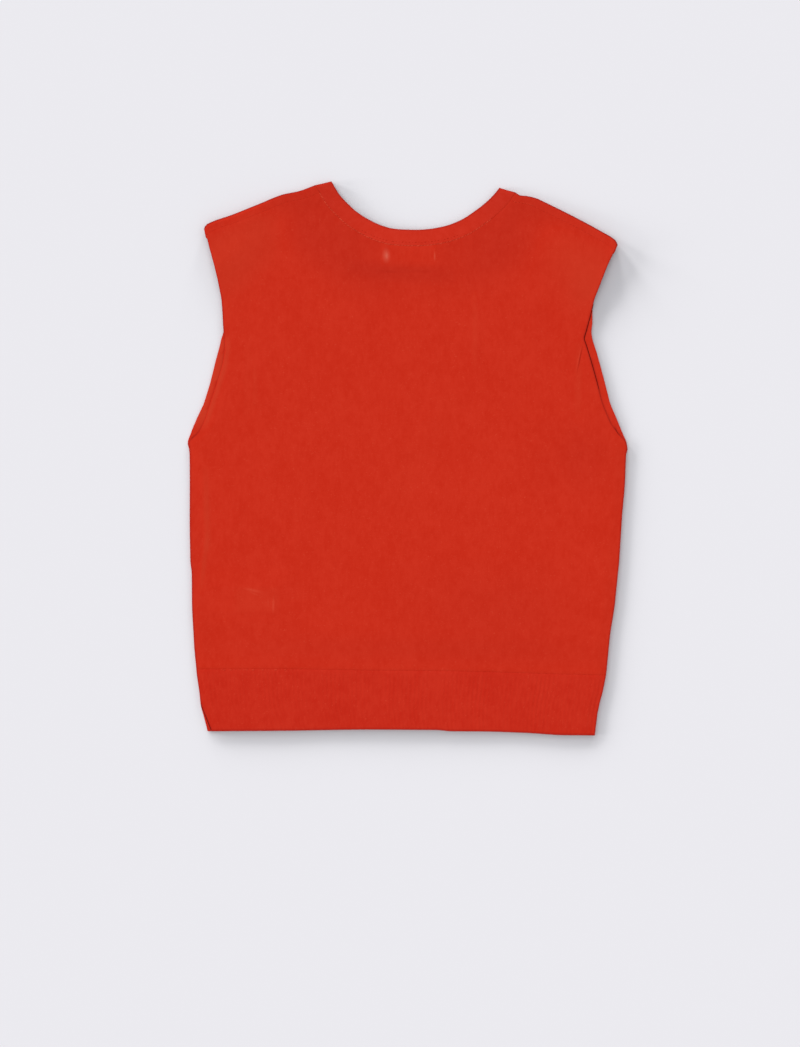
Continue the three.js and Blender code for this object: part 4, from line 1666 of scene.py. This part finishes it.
@dataclass
class Neckband(SewnPiece):
    """The neckband: one ring of double knit, on the back neckline and under it round the front."""

    cut: Cut
    relief: Relief
    toned: ClassVar[bool] = True
    name: str = "neckband_ring"
    node: str = "neckband"
    slot: str = "band"
    finish: Yarn = BAND_YARN
    across: int = 22
    back_spaces: int = 300
    front_spaces: int = 120
    fold_steps: int = 12
    beside_fold: float = 3.0
    past_fold: float = 3.4  # the half turn at a neck point ends this far in
    above_front: float = 0.4  # an edge this far over the front's part of the ring is on the back
    rounding: Rounding = Rounding(open_edge=0.85)

    def half_turn(self, across: float, side: Side) -> Net:
        """The half turn at a neck point, from the front up to the back.

        Args:
            across: share of the band's width, 0 at its free edge.
            side: which neck point.

        Returns:
            A row of points.
        """
        cut, wall = self.cut, self.cut.band_wall
        left = side is Side.LEFT
        free, seam = (cut.free_left, cut.seam_left) if left else (cut.free_right, cut.seam_right)
        way, turn = (1, 0.0) if left else (-1, math.pi)
        radius = cut.neck_radius + across * cut.band_width
        degrees = lerp(free, seam, across)
        edge = cut.on_neck(radius, degrees)
        run = cut.on_neck(radius, degrees + way * math.degrees(self.beside_fold / radius)) - edge
        run = run / np.linalg.norm(run)
        beside = edge + run * self.beside_fold
        half = (float(self.relief.top(beside[0], beside[1])) - wall / 2) / 2
        axis = half + wall / 2
        front = cut.on_front_neck(across, turn + way * axis / cut.front_neck_drop)
        share = np.linspace(0.0, 1.0, self.fold_steps + 1)[:, None]
        angle = math.pi * (share - 0.5)
        reach = axis - half * np.cos(angle)
        low = lerp(edge, front, reach / axis)
        plan = lerp(low, edge + run * reach, share)
        return np.hstack([plan, wall / 2 + half * (1 + np.sin(angle))])

    def rail(self, across: float) -> Net:
        """One line of the ring, at a share of the band's width.

        Args:
            across: the share, 0 at the free edge and 1 on the seam.

        Returns:
            The points of the line, once round.
        """
        cut = self.cut
        radius = cut.neck_radius + across * cut.band_width
        degrees = cut.back_neck(across, self.back_spaces, self.past_fold)
        back = self.relief.on_top(cut.on_neck(radius, degrees))
        turns = cut.front_turns(self.front_spaces)
        plan = cut.on_front_neck(across, turns)
        front = np.hstack([plan, np.full((len(plan), 1), cut.band_wall / 2)])
        return np.vstack([
            self.half_turn(across, Side.LEFT)[:-1],
            back,
            self.half_turn(across, Side.RIGHT)[::-1][1:],
            front[::-1],
        ])

    def build(self) -> Object:
        """Models the ring as one sheet with a rounded wall.

        Returns:
            The ring.
        """
        rails = [self.rail(share) for share in np.linspace(0.0, 1.0, self.across + 1)]
        net = np.stack([np.vstack([rail, rail[:1]]) for rail in rails])
        middle = net[self.across // 2]
        travel = np.concatenate([[0.0], np.cumsum(np.linalg.norm(np.diff(middle, axis=0), axis=1))])
        width = np.linspace(0.0, self.cut.band_width, self.across + 1)
        cloth = np.stack(np.meshgrid(travel, width), axis=-1)
        piece = join_cloth(self.name, [lay_grid(net, cloth)])
        self.rounding.finish(piece, self.cut.band_wall, self.is_seam)
        return piece

    def is_seam(self, middles: Net) -> np.ndarray:
        """Which edges are linked to the back or the front: the outer ones."""
        on_back = middles[:, 2] >= self.cut.band_wall + self.above_front
        return (self.cut.from_seam(middles[:, 0], middles[:, 1]) > -NEAR) & on_back

    def declare(self, piece: Object) -> None:
        """Works out the middle line of the ring, and keeps nothing of it. Its cloth is a straight strip, as
        long as the ring is round.

        Args:
            piece: the finished mesh; not used.
        """
        middle = self.rail(0.5)


@dataclass
class HemRib(SewnPiece):
    """One layer of the ribbed hem."""

    cut: Cut
    relief: Relief
    toned: ClassVar[bool] = True
    layer: Layer
    slot: str = "rib"
    finish: Yarn = RIB_YARN
    rib_pitch: float = 4.3
    rib_depth: float = 0.24
    uneven: float = 0.4  # how far the ribs differ in depth
    uneven_waves: tuple[float, ...] = (61.0, 23.0)  # in radians over the width
    flattened: float = 4.0  # length below the seam over which the ribs grow
    per_rib: int = 8
    rows: int = 20
    rounding: Rounding = Rounding()
    width: float = 418.0
    length: float = 62.0

    @property
    def name(self) -> str:
        """Name of the piece."""
        return f"hem_rib_{self.layer.value}"

    @property
    def node(self) -> str:
        """The plain solid that it stands for."""
        return f"hem_{self.layer.value}"

    def plan(self, columns: int) -> np.ndarray:
        """Rows of plan points from the free edge up to the seam.

        Args:
            columns: number of spaces across.

        Returns:
            The points.
        """
        share = np.linspace(0.0, 1.0, columns + 1)
        names = [f"{self.layer.value}_{side.value}" for side in Side]
        levels = []
        for up in np.linspace(0.0, 1.0, self.rows + 1):
            def level(x: Value, up: float = up) -> Value:
                """Height in plan of this row at a place across."""
                return lerp(HEM.read("edge", x), HEM.read("seam", x) - self.cut.seam_gap / 2, up)

            near = level(lerp(HEM.rows[0, 0], HEM.rows[-1, 0], share))
            x = lerp(SIDES.read(names[0], near), SIDES.read(names[1], near), share)
            levels.append(np.stack([x, level(x)], axis=1))
        return np.stack(levels)

    def build(self) -> Object:
        """Models the rib as a waved sheet with a rounded wall.

        Returns:
            The rib.
        """
        ribs = round(self.width / self.rib_pitch)
        columns = ribs * self.per_rib
        plan = self.plan(columns)
        share = np.linspace(0.0, 1.0, columns + 1)
        up = np.linspace(0.0, 1.0, self.rows + 1)[:, None]
        first, second = self.uneven_waves
        waves = np.sin(share * first + 0.5 * up) * np.sin(share * second + 1.0)
        depth = self.rib_depth * (1 - self.uneven + self.uneven * waves)
        depth = depth * smooth((1 - up) * self.length / self.flattened)
        wave = depth * (0.5 - 0.5 * np.cos(math.tau * ribs * share))
        if self.layer is Layer.UPPER:
            net = self.relief.on_top(plan)
        else:
            net = np.concatenate([plan, np.full(plan.shape[:2] + (1,), self.cut.jersey / 2)], axis=-1)
        net[..., 2] += wave
        piece = join_cloth(self.name, [lay_grid(net, plan)])
        self.rounding.finish(piece, self.cut.jersey, self.is_seam)
        return piece

    def is_seam(self, middles: Net) -> np.ndarray:
        """Which edges are linked to the panel above."""
        return middles[:, 1] > HEM.read("seam", middles[:, 0]) - NEAR

    def declare(self, piece: Object) -> None:
        """Does nothing.

        Args:
            piece: the finished mesh; not used.
        """


@dataclass
class ShoulderPad(SewnPiece):
    """A thin foam pad inside a shoulder, thick at the tip and feathered out at its curved edge."""

    pad: Pad
    cut: Cut
    relief: Relief
    slot: str = "pad"
    finish: Foam = Foam("jersey_faced_foam", "c2301d")
    net: int = 26
    floor: float = 1.5
    clearance: float = 0.3
    feather: float = 0.75
    feather_from: float = 0.8  # in shares of the pad
    feather_width: float = 0.2
    rounding: float = 0.35
    sharpest: float = 50.0  # edges that turn by more than this, in degrees, are rounded
    fill: float = 0.5

    @property
    def name(self) -> str:
        """Name of the piece."""
        return f"shoulder_pad_{self.pad.side.value}_foam"

    @property
    def node(self) -> str:
        """The plain solid that it stands for."""
        return f"shoulder_pad_{self.pad.side.value}"

    def build(self) -> Object:
        """Models the pad: a round-cornered net with a wall, whose faces are brought to their heights.

        Returns:
            The pad.
        """
        pad = self.pad
        start = pad.corner + pad.down * pad.shoulder_inset + pad.along * pad.armhole_inset
        width, length = pad.along_reach - pad.armhole_inset, pad.down_reach - pad.shoulder_inset
        q, p = np.meshgrid(*[np.linspace(0.0, 1.0, self.net + 1)] * 2, indexing="ij")
        plan = start + (width * p * np.sqrt(1 - q * q / 2))[..., None] * pad.along
        plan = plan + (length * q * np.sqrt(1 - p * p / 2))[..., None] * pad.down
        if pad.side is Side.LEFT:
            plan = plan[::-1]
        flat = np.concatenate([plan, np.zeros(plan.shape[:2] + (1,))], axis=-1)
        piece = join_cloth(self.name, [lay_grid(flat, plan)])
        apply_modifier(piece, "SOLIDIFY", thickness=MM, offset=0.0)
        points = np.zeros((len(piece.data.vertices), 3), np.float32)
        piece.data.vertices.foreach_get("co", points.ravel())
        points = points.reshape(-1, 3)
        x, y = (points[:, :2] / MM - DATUM[:2]).T
        upper = self.relief.top(x, y) - self.cut.jersey / 2 - self.clearance
        rim = smooth((pad.share(x, y) - self.feather_from) / self.feather_width)
        lower = self.floor + self.feather * rim
        points[:, 2] = np.where(points[:, 2] > 0, upper, lower) * MM
        piece.data.vertices.foreach_set("co", points.ravel())
        angle = math.radians(self.sharpest)
        width = self.rounding * MM
        apply_modifier(piece, "BEVEL", width=width, segments=2, limit_method="ANGLE", angle_limit=angle)
        choose([piece])
        bpy.ops.object.shade_smooth()
        return piece

    def declare(self, piece: Object) -> None:
        """Does nothing."""


@dataclass
class Label(SewnPiece):
    """A blank label inside the back: tape folded under at its ends and sewn down."""

    name: str
    node: str
    place: Rectangle
    cut: Cut
    relief: Relief
    slot: str = "label"
    finish: Tape = Tape("satin_label_tape", "f1efea")
    tape: float = 0.35
    turned: float = 6.0  # length folded under at each end
    clearance: float = 0.5
    fold_radius: float = 0.26
    fold_steps: int = 9
    under_steps: int = 6
    net: tuple[int, int] = (16, 60)
    rounding: Rounding = Rounding(open_edge=0.1)

    def build(self) -> Object:
        """Models the tape along its folded path and gives it its wall.

        Returns:
            The label.
        """
        half = self.place.width / 2
        radius = self.fold_radius
        bend = np.linspace(0.0, math.pi, self.fold_steps)[1:-1]
        inner = half - radius
        over = [(x, 0.0) for x in np.linspace(-inner, inner, self.net[1])]
        right = [(inner + radius * math.sin(a), radius * (math.cos(a) - 1)) for a in bend]
        under = [(x, -2 * radius) for x in np.linspace(inner, half - self.turned, self.under_steps)]
        left = [(-x, z) for x, z in (under[::-1] + right[::-1])]
        path = np.array(left + over + right + under)
        travel = np.concatenate([[0.0], np.cumsum(np.linalg.norm(np.diff(path, axis=0), axis=1))])
        rise = np.linspace(-0.5, 0.5, self.net[0] + 1) * self.place.height
        x = self.place.x + path[None, :, 0] + 0 * rise[:, None]
        y = self.place.y + rise[:, None] + 0 * x
        top = self.relief.plain(x, y) - self.cut.jersey / 2 - self.clearance - self.tape / 2
        net = np.stack([x, y, top + path[None, :, 1]], axis=-1)
        cloth = np.stack(np.meshgrid(travel, rise), axis=-1)
        piece = join_cloth(self.name, [lay_grid(net, cloth)])
        self.rounding.finish(piece, self.tape)
        return piece

    def declare(self, piece: Object) -> None:
        """Does nothing.

        Args:
            piece: the finished mesh; not used.
        """


@dataclass(frozen=True)
class Loop:
    """Size of a linking stitch, and how far it is from one to the next, in millimetres."""

    pitch: float
    length: float
    width: float
    height: float


@dataclass
class StitchRow(SewnPiece):
    """A row of linking stitches: one stitch modelled once, then copied along a path."""

    name: str
    path: Net
    loop: Loop
    lean: float = 8.0  # turn of each stitch from the row, in degrees
    uneven: float = 0.3  # how far stitches differ in size
    uneven_waves: tuple[float, ...] = (2.3, 0.37)  # in radians from stitch to stitch
    sides: int = 6
    rounding: float = 0.22  # of a stitch's ends, in shares of its width
    sharpest: float = 70.0  # edges that turn by more than this, in degrees, are rounded
    slot: str = "knit"
    node: str | None = None
    finish: Yarn = LINKING_YARN

    def stitch(self) -> Object:
        """One stitch: a short strand, rounded at its ends and a little waisted.

        Returns:
            The mesh object, lying along X at the origin.
        """
        deselect()
        size = {"radius": 0.5, "depth": 1.0}
        bpy.ops.mesh.primitive_cylinder_add(vertices=self.sides, **size, end_fill_type="NGON")
        strand = bpy.context.object
        bpy.ops.object.mode_set(mode="EDIT")
        bpy.ops.mesh.select_all(action="SELECT")
        bpy.ops.transform.rotate(value=math.pi / 2, orient_axis="Y", center_override=(0, 0, 0))
        bpy.ops.object.mode_set(mode="OBJECT")
        angle = math.radians(self.sharpest)
        apply_modifier(
            strand, "BEVEL", width=self.rounding, segments=2, limit_method="ANGLE", angle_limit=angle
        )
        loop = self.loop
        strand.data.transform(Matrix.Diagonal((loop.length * MM, loop.width * MM, loop.height * MM, 1.0)))
        return strand

    def build(self) -> Object:
        """Copies the stitch along the path and joins the copies.

        Returns:
            The row.
        """
        strand = self.stitch()
        total = np.linalg.norm(np.diff(self.path, axis=0), axis=1).sum()
        count = max(2, round(total / self.loop.pitch))
        ends = resample(self.path, count + 1)
        copies = []
        first, second = self.uneven_waves
        for number, (start, end) in enumerate(zip(ends, ends[1:])):
            way = Vector(end - start)
            turn = math.atan2(way.y, way.x) + math.radians(self.lean)
            rise = -math.atan2(way.z, math.hypot(way.x, way.y))
            size = 1 + self.uneven * math.sin(number * first) * math.sin(number * second + 1)
            spot = Matrix.Translation(to_scene((start + end) / 2))
            copy = strand.copy()
            copy.data = strand.data.copy()
            turned = Matrix.Rotation(turn, 4, "Z") @ Matrix.Rotation(rise, 4, "Y")
            copy.data.transform(spot @ turned @ Matrix.Scale(size, 4))
            bpy.context.collection.objects.link(copy)
            copies.append(copy)
        bpy.data.objects.remove(strand)
        piece = choose(copies)
        bpy.ops.object.join()
        piece.name = piece.data.name = self.name
        bpy.ops.object.shade_smooth()
        return piece


@dataclass
class ShadowGapRoll(SewnPiece):
    """A thin roll under the back's edge, dark as a painted shadow: it shows as the thin line of shade
    between the layers.
    """

    name: str
    relief: Relief
    column: str
    first: float
    last: float
    outward: float
    slot: str = "knit"
    node: str | None = None
    finish: Yarn = SHADOW_GAP_YARN
    radius: float = 0.5
    beyond: float = 0.3  # how far its middle lies outside the back's edge
    below: float = 0.75  # and under the middle of the back's wall
    thinnest: float = 0.2  # share of its thickness that is left at its ends
    bluntness: float = 0.35  # the nearer to 0, the later it thins out
    around: int = 8
    along: int = 160

    def build(self) -> Object:
        """Models the roll as a closed tube that thins out at both ends.

        Returns:
            The roll.
        """
        y = np.linspace(self.first, self.last, self.along + 1)
        x = SIDES.read(self.column, y) + self.outward * self.beyond
        z = self.relief.top(x, y) - self.below
        share = np.linspace(0.0, 1.0, self.along + 1)
        blunt = np.sin(math.pi * share) ** self.bluntness
        thick = self.radius * (self.thinnest + (1 - self.thinnest) * blunt)
        angle = np.linspace(0.0, math.tau, self.around + 1)
        across = thick[:, None] * np.cos(angle)
        up = thick[:, None] * np.sin(angle)
        net = np.stack([x[:, None] + across, y[:, None] + 0 * across, z[:, None] + up], axis=-1)
        cloth = np.stack(np.meshgrid(angle * self.radius, y), axis=-1)
        piece = join_cloth(self.name, [lay_grid(net, cloth)])
        bpy.ops.object.mode_set(mode="EDIT")
        bpy.ops.mesh.select_all(action="SELECT")
        bpy.ops.mesh.fill_holes(sides=0)
        bpy.ops.mesh.normals_make_consistent(inside=False)
        bpy.ops.object.mode_set(mode="OBJECT")
        bpy.ops.object.shade_smooth()
        return piece


@dataclass
class Seams:
    """The rows of linking stitches that join the pieces."""

    cut: Cut
    relief: Relief
    hole_inset: float = 3.0  # of the needle holes, from the neckband's seam
    hole_places: tuple[int, int] = (150, -170)
    places: int = 600  # along the neckband's seam
    last_loop: int = 528  # the place where the neckband's chain draws tight
    shoulder_places: int = 300
    end_places: tuple[int, int] = (238, 292)  # where stitches show on the right shoulder
    hem_run: tuple[float, float, int] = (-213.0, 201.5, 900)  # from, to and number of places across
    hem_end_run: tuple[float, float, int] = (-192.0, -114.0, 300)
    side_top: float = 4.0  # below the underarm
    side_foot: float = -274.0
    side_inset: float = 0.9

    def laid(self, plan: Points, proud: float) -> Net:
        """A path on the upper layer, raised by a little.

        Args:
            plan: plan points.
            proud: how far the path stands over the cloth's middle, in millimetres.

        Returns:
            The points of the path.
        """
        path = self.relief.on_top(plan)
        path[:, 2] += proud
        return path

    def by_neckband(self, out: float, proud: float, places: slice, share: float = 1.0) -> Net:
        """A stretch of path at a distance out from the neckband's seam, ending at a share of its width."""
        angles = self.cut.back_neck(share, self.places)[places]
        return self.laid(self.cut.on_neck(self.cut.seam_radius + out, angles), proud)

    def by_shoulder(self, side: Side, inset: float, proud: float) -> Net:
        """A path at a distance in from a shoulder's fold."""
        return self.laid(self.cut.stations(side, self.shoulder_places).inward(inset), proud)

    def by_hem(self, run: tuple[float, float, int], below: float, proud: float) -> Net:
        """A path at a distance below the hem's seam."""
        x = np.linspace(*run)
        return self.laid(np.stack([x, HEM.read("seam", x) - below], axis=1), proud)

    def neck(self) -> StitchRow:
        """The chain that links the neckband to the back."""
        path = self.by_neckband(0.4, 0.66, slice(self.last_loop))
        return StitchRow("neck_linking", path, Loop(3.3, 2.6, 0.9, 0.6), uneven=0.4, slot="band")

    def neck_end(self) -> StitchRow:
        """The last of that chain before the right shoulder, drawn tight so that hardly a loop shows."""
        path = self.by_neckband(0.1, 0.62, slice(self.last_loop, None))
        look = {"lean": 3.0, "uneven": 0.15, "finish": SAME_YARN}
        return StitchRow("neck_linking_end", path, Loop(2.3, 2.6, 1.2, 0.5), **look, slot="band")

    def needle_holes(self) -> StitchRow:
        """The sunk loops of the linking, in a row inside the neckband, darker as painted shade."""
        path = self.by_neckband(-self.hole_inset, self.cut.band_wall / 2, slice(*self.hole_places), 0.8)
        look = {"uneven": 0.5, "finish": HOLE_YARN}
        return StitchRow("neck_needle_holes", path, Loop(3.3, 1.3, 0.6, 0.12), **look, slot="band")

    def shoulder(self, side: Side) -> StitchRow:
        """The short stitches that join the wrapped front to the back along a shoulder."""
        path = self.by_shoulder(side, self.cut.wrap + self.cut.seam_gap / 2, 0.5)
        return StitchRow(f"shoulder_linking_{side.value}", path, Loop(3.4, 1.8, 0.7, 0.4), finish=SAME_YARN)

    def shoulder_end(self) -> StitchRow:
        """The stitches that show beside the neckband on the right shoulder."""
        path = self.by_shoulder(Side.RIGHT, self.cut.wrap - 0.6, 0.6)[slice(*self.end_places)]
        look = {"lean": -12.0, "finish": FAINT_YARN}
        return StitchRow("shoulder_linking_end", path, Loop(3.2, 2.4, 0.7, 0.5), **look)

    def hem(self) -> StitchRow:
        """The chain that links the rib to the back. It has sunk in, and its darker yarn paints the shade of
        that groove as a thin line.
        """
        path = self.by_hem(self.hem_run, 0.0, 0.5)
        return StitchRow("hem_linking", path, Loop(2.4, 2.2, 0.6, 0.4), slot="rib", finish=HOLE_YARN)

    def hem_end(self) -> StitchRow:
        """The loops that show below the hem seam near the left side."""
        path = self.by_hem(self.hem_end_run, 1.1, 0.62)
        look = {"uneven": 0.95, "finish": FAINT_YARN}
        return StitchRow("hem_linking_end", path, Loop(3.2, 1.7, 0.7, 0.4), **look, slot="rib")

    def side_seam(self, side: Side) -> StitchRow:
        """The stitches between the two layers, down a side from the underarm to the hem.

        Args:
            side: which side.

        Returns:
            The row of stitches.
        """
        y = np.linspace(self.cut.underarm - self.side_top, self.side_foot, 800)
        inset = self.side_inset if side is Side.LEFT else -self.side_inset
        x = SIDES.read(f"back_{side.value}", y) + inset
        z = np.full_like(x, self.cut.jersey + self.cut.seam_gap / 2 + 0.05)
        path = np.stack([x, y, z], axis=1)
        return StitchRow(f"side_linking_{side.value}", path, Loop(2.8, 2.2, 1.3, 0.6))

    def rows(self) -> list[StitchRow]:
        """Sews every seam.

        Returns:
            All rows of stitches.
        """
        both = [row(side) for side in Side for row in (self.shoulder, self.side_seam)]
        ends = [self.neck_end(), self.hem_end(), self.shoulder_end()]
        return [self.neck(), self.needle_holes(), self.hem(), *ends, *both]


@dataclass(frozen=True)
class Studio:
    """The plain floor, the soft light and the camera straight above the garment."""

    floor_size: float = 40.0
    brightness: float = 1.05
    floor_drop: float = 0.0002
    ambient: float = 0.57  # share of the floor's light that comes evenly from all round
    sky: str = "f6f6f8"
    low_elevation: float = 9.0  # a fan of low lights draws the long soft shadow on the floor
    low_width: float = 13.0
    low_turns: tuple[float, ...] = (-56.0, -28.0, 0.0, 28.0, 56.0)  # from the main direction
    low_shares: tuple[float, ...] = (0.12, 0.21, 0.27, 0.25, 0.15)
    key_elevation: float = 55.0  # the key light models the cloth
    key_width: float = 30.0
    from_left: float = 8.0  # the light travels this far right for each from_top down the picture
    from_top: float = 10.0
    camera_x: float = -7.9
    camera_y: float = -66.0
    camera_height: float = 3.0
    picture_length: float = 1.0679  # height of what the picture takes in, in metres
    sensor: float = 36.0

    def floor(self) -> Object:
        """Lays the paper that the garment lies on.

        Returns:
            The floor.
        """
        deselect()
        bpy.ops.mesh.primitive_plane_add(size=self.floor_size, location=(0, 0, 0))
        floor = bpy.context.object
        floor.name = "studio_floor"
        floor.data.transform(Matrix.Translation((0, 0, -self.floor_drop)))
        floor.data.materials.append(Paper().material())
        return floor

    def sun(
        self, name: str, elevation: float, width: float, share: float, turn: float = 0.0
    ) -> Object:
        """Adds a broad far light from the upper left.

        Args:
            name: name of the light.
            elevation: its height over the floor, in degrees.
            width: how wide it looks, in degrees.
            share: share of the floor's light that it gives.
            turn: how far round the garment it stands from the main direction, in degrees.

        Returns:
            The light.
        """
        deselect()
        bpy.ops.object.light_add(type="SUN", location=(-1, 1, 1))
        light = bpy.context.object
        light.name = name
        light.data.energy = math.pi * self.brightness * share / math.sin(math.radians(elevation))
        light.data.angle = math.radians(width)
        main_way = Vector((self.from_left, -self.from_top, 0)).normalized()
        flat = Matrix.Rotation(math.radians(turn), 3, "Z") @ main_way
        way = flat * math.cos(math.radians(elevation)) - Vector((0, 0, math.sin(math.radians(elevation))))
        light.rotation_euler = way.to_track_quat("-Z", "Y").to_euler()
        return light

    def light(self, floor: Object, garment: list[Object]) -> None:
        """Lights the floor and the garment.

        Args:
            floor: the floor, which alone takes the low lights.
            garment: the pieces, which alone take the key light.
        """
        world = bpy.data.worlds.new("soft_room")
        world.use_nodes = True
        background = world.node_tree.nodes["Background"]
        background.inputs["Color"].default_value = linear(self.sky)
        background.inputs["Strength"].default_value = self.brightness * self.ambient
        bpy.context.scene.world = world
        rest = 1 - self.ambient
        lights = [(self.sun("key_light", self.key_elevation, self.key_width, rest), garment)]
        for number, (turn, share) in enumerate(zip(self.low_turns, self.low_shares), 1):
            low = self.sun(f"low_light_{number}", self.low_elevation, self.low_width, rest * share, turn)
            lights.append((low, [floor]))
        for light, lit in lights:
            group = bpy.data.collections.new(f"lit_by_{light.name}")
            for one in lit:
                group.objects.link(one)
            light.light_linking.receiver_collection = group

    def camera(self) -> None:
        """Sets the camera straight above, at the photograph's framing."""
        place = (self.camera_x * MM, self.camera_y * MM, self.camera_height)
        bpy.ops.object.camera_add(location=place, rotation=(0, 0, 0))
        camera = bpy.context.object
        camera.name = "overhead_camera"
        camera.data.sensor_width = self.sensor
        camera.data.lens = self.sensor * self.camera_height / self.picture_length
        bpy.context.scene.camera = camera
        bpy.context.scene.view_settings.view_transform = "Standard"


def main() -> None:
    """Builds the garment piece by piece, then the studio."""
    logging.basicConfig(level=logging.INFO, format="%(name)s %(message)s")
    cut = Cut()
    relief = Relief(cut)
    pieces = [
        BackPanel(cut, relief),
        FrontPanel(cut, relief),
        Neckband(cut, relief),
        HemRib(cut, relief, Layer.UPPER),
        HemRib(cut, relief, Layer.LOWER),
        *(ShoulderPad(pad, cut, relief) for pad in relief.pads),
        Label("neck_label_tape", "neck_label", NECK_LABEL, cut, relief),
        Label("care_label_tape", "care_label", CARE_LABEL, cut, relief),
        ShadowGapRoll("armhole_shadow_roll_right", relief, "back_right", first=158.0, last=24.0, outward=1.0),
        ShadowGapRoll(
            "hem_corner_shadow_roll_left", relief, "back_left", first=-250.0, last=-276.6, outward=-1.0, slot="rib"
        ),
        *Seams(cut, relief).rows(),
    ]
    garment = [piece.make() for piece in pieces]
    studio = Studio()
    floor = studio.floor()
    studio.light(floor, garment)
    studio.camera()
    log.info("the garment has %d pieces", len(garment))


if __name__ == "__main__":
    main()
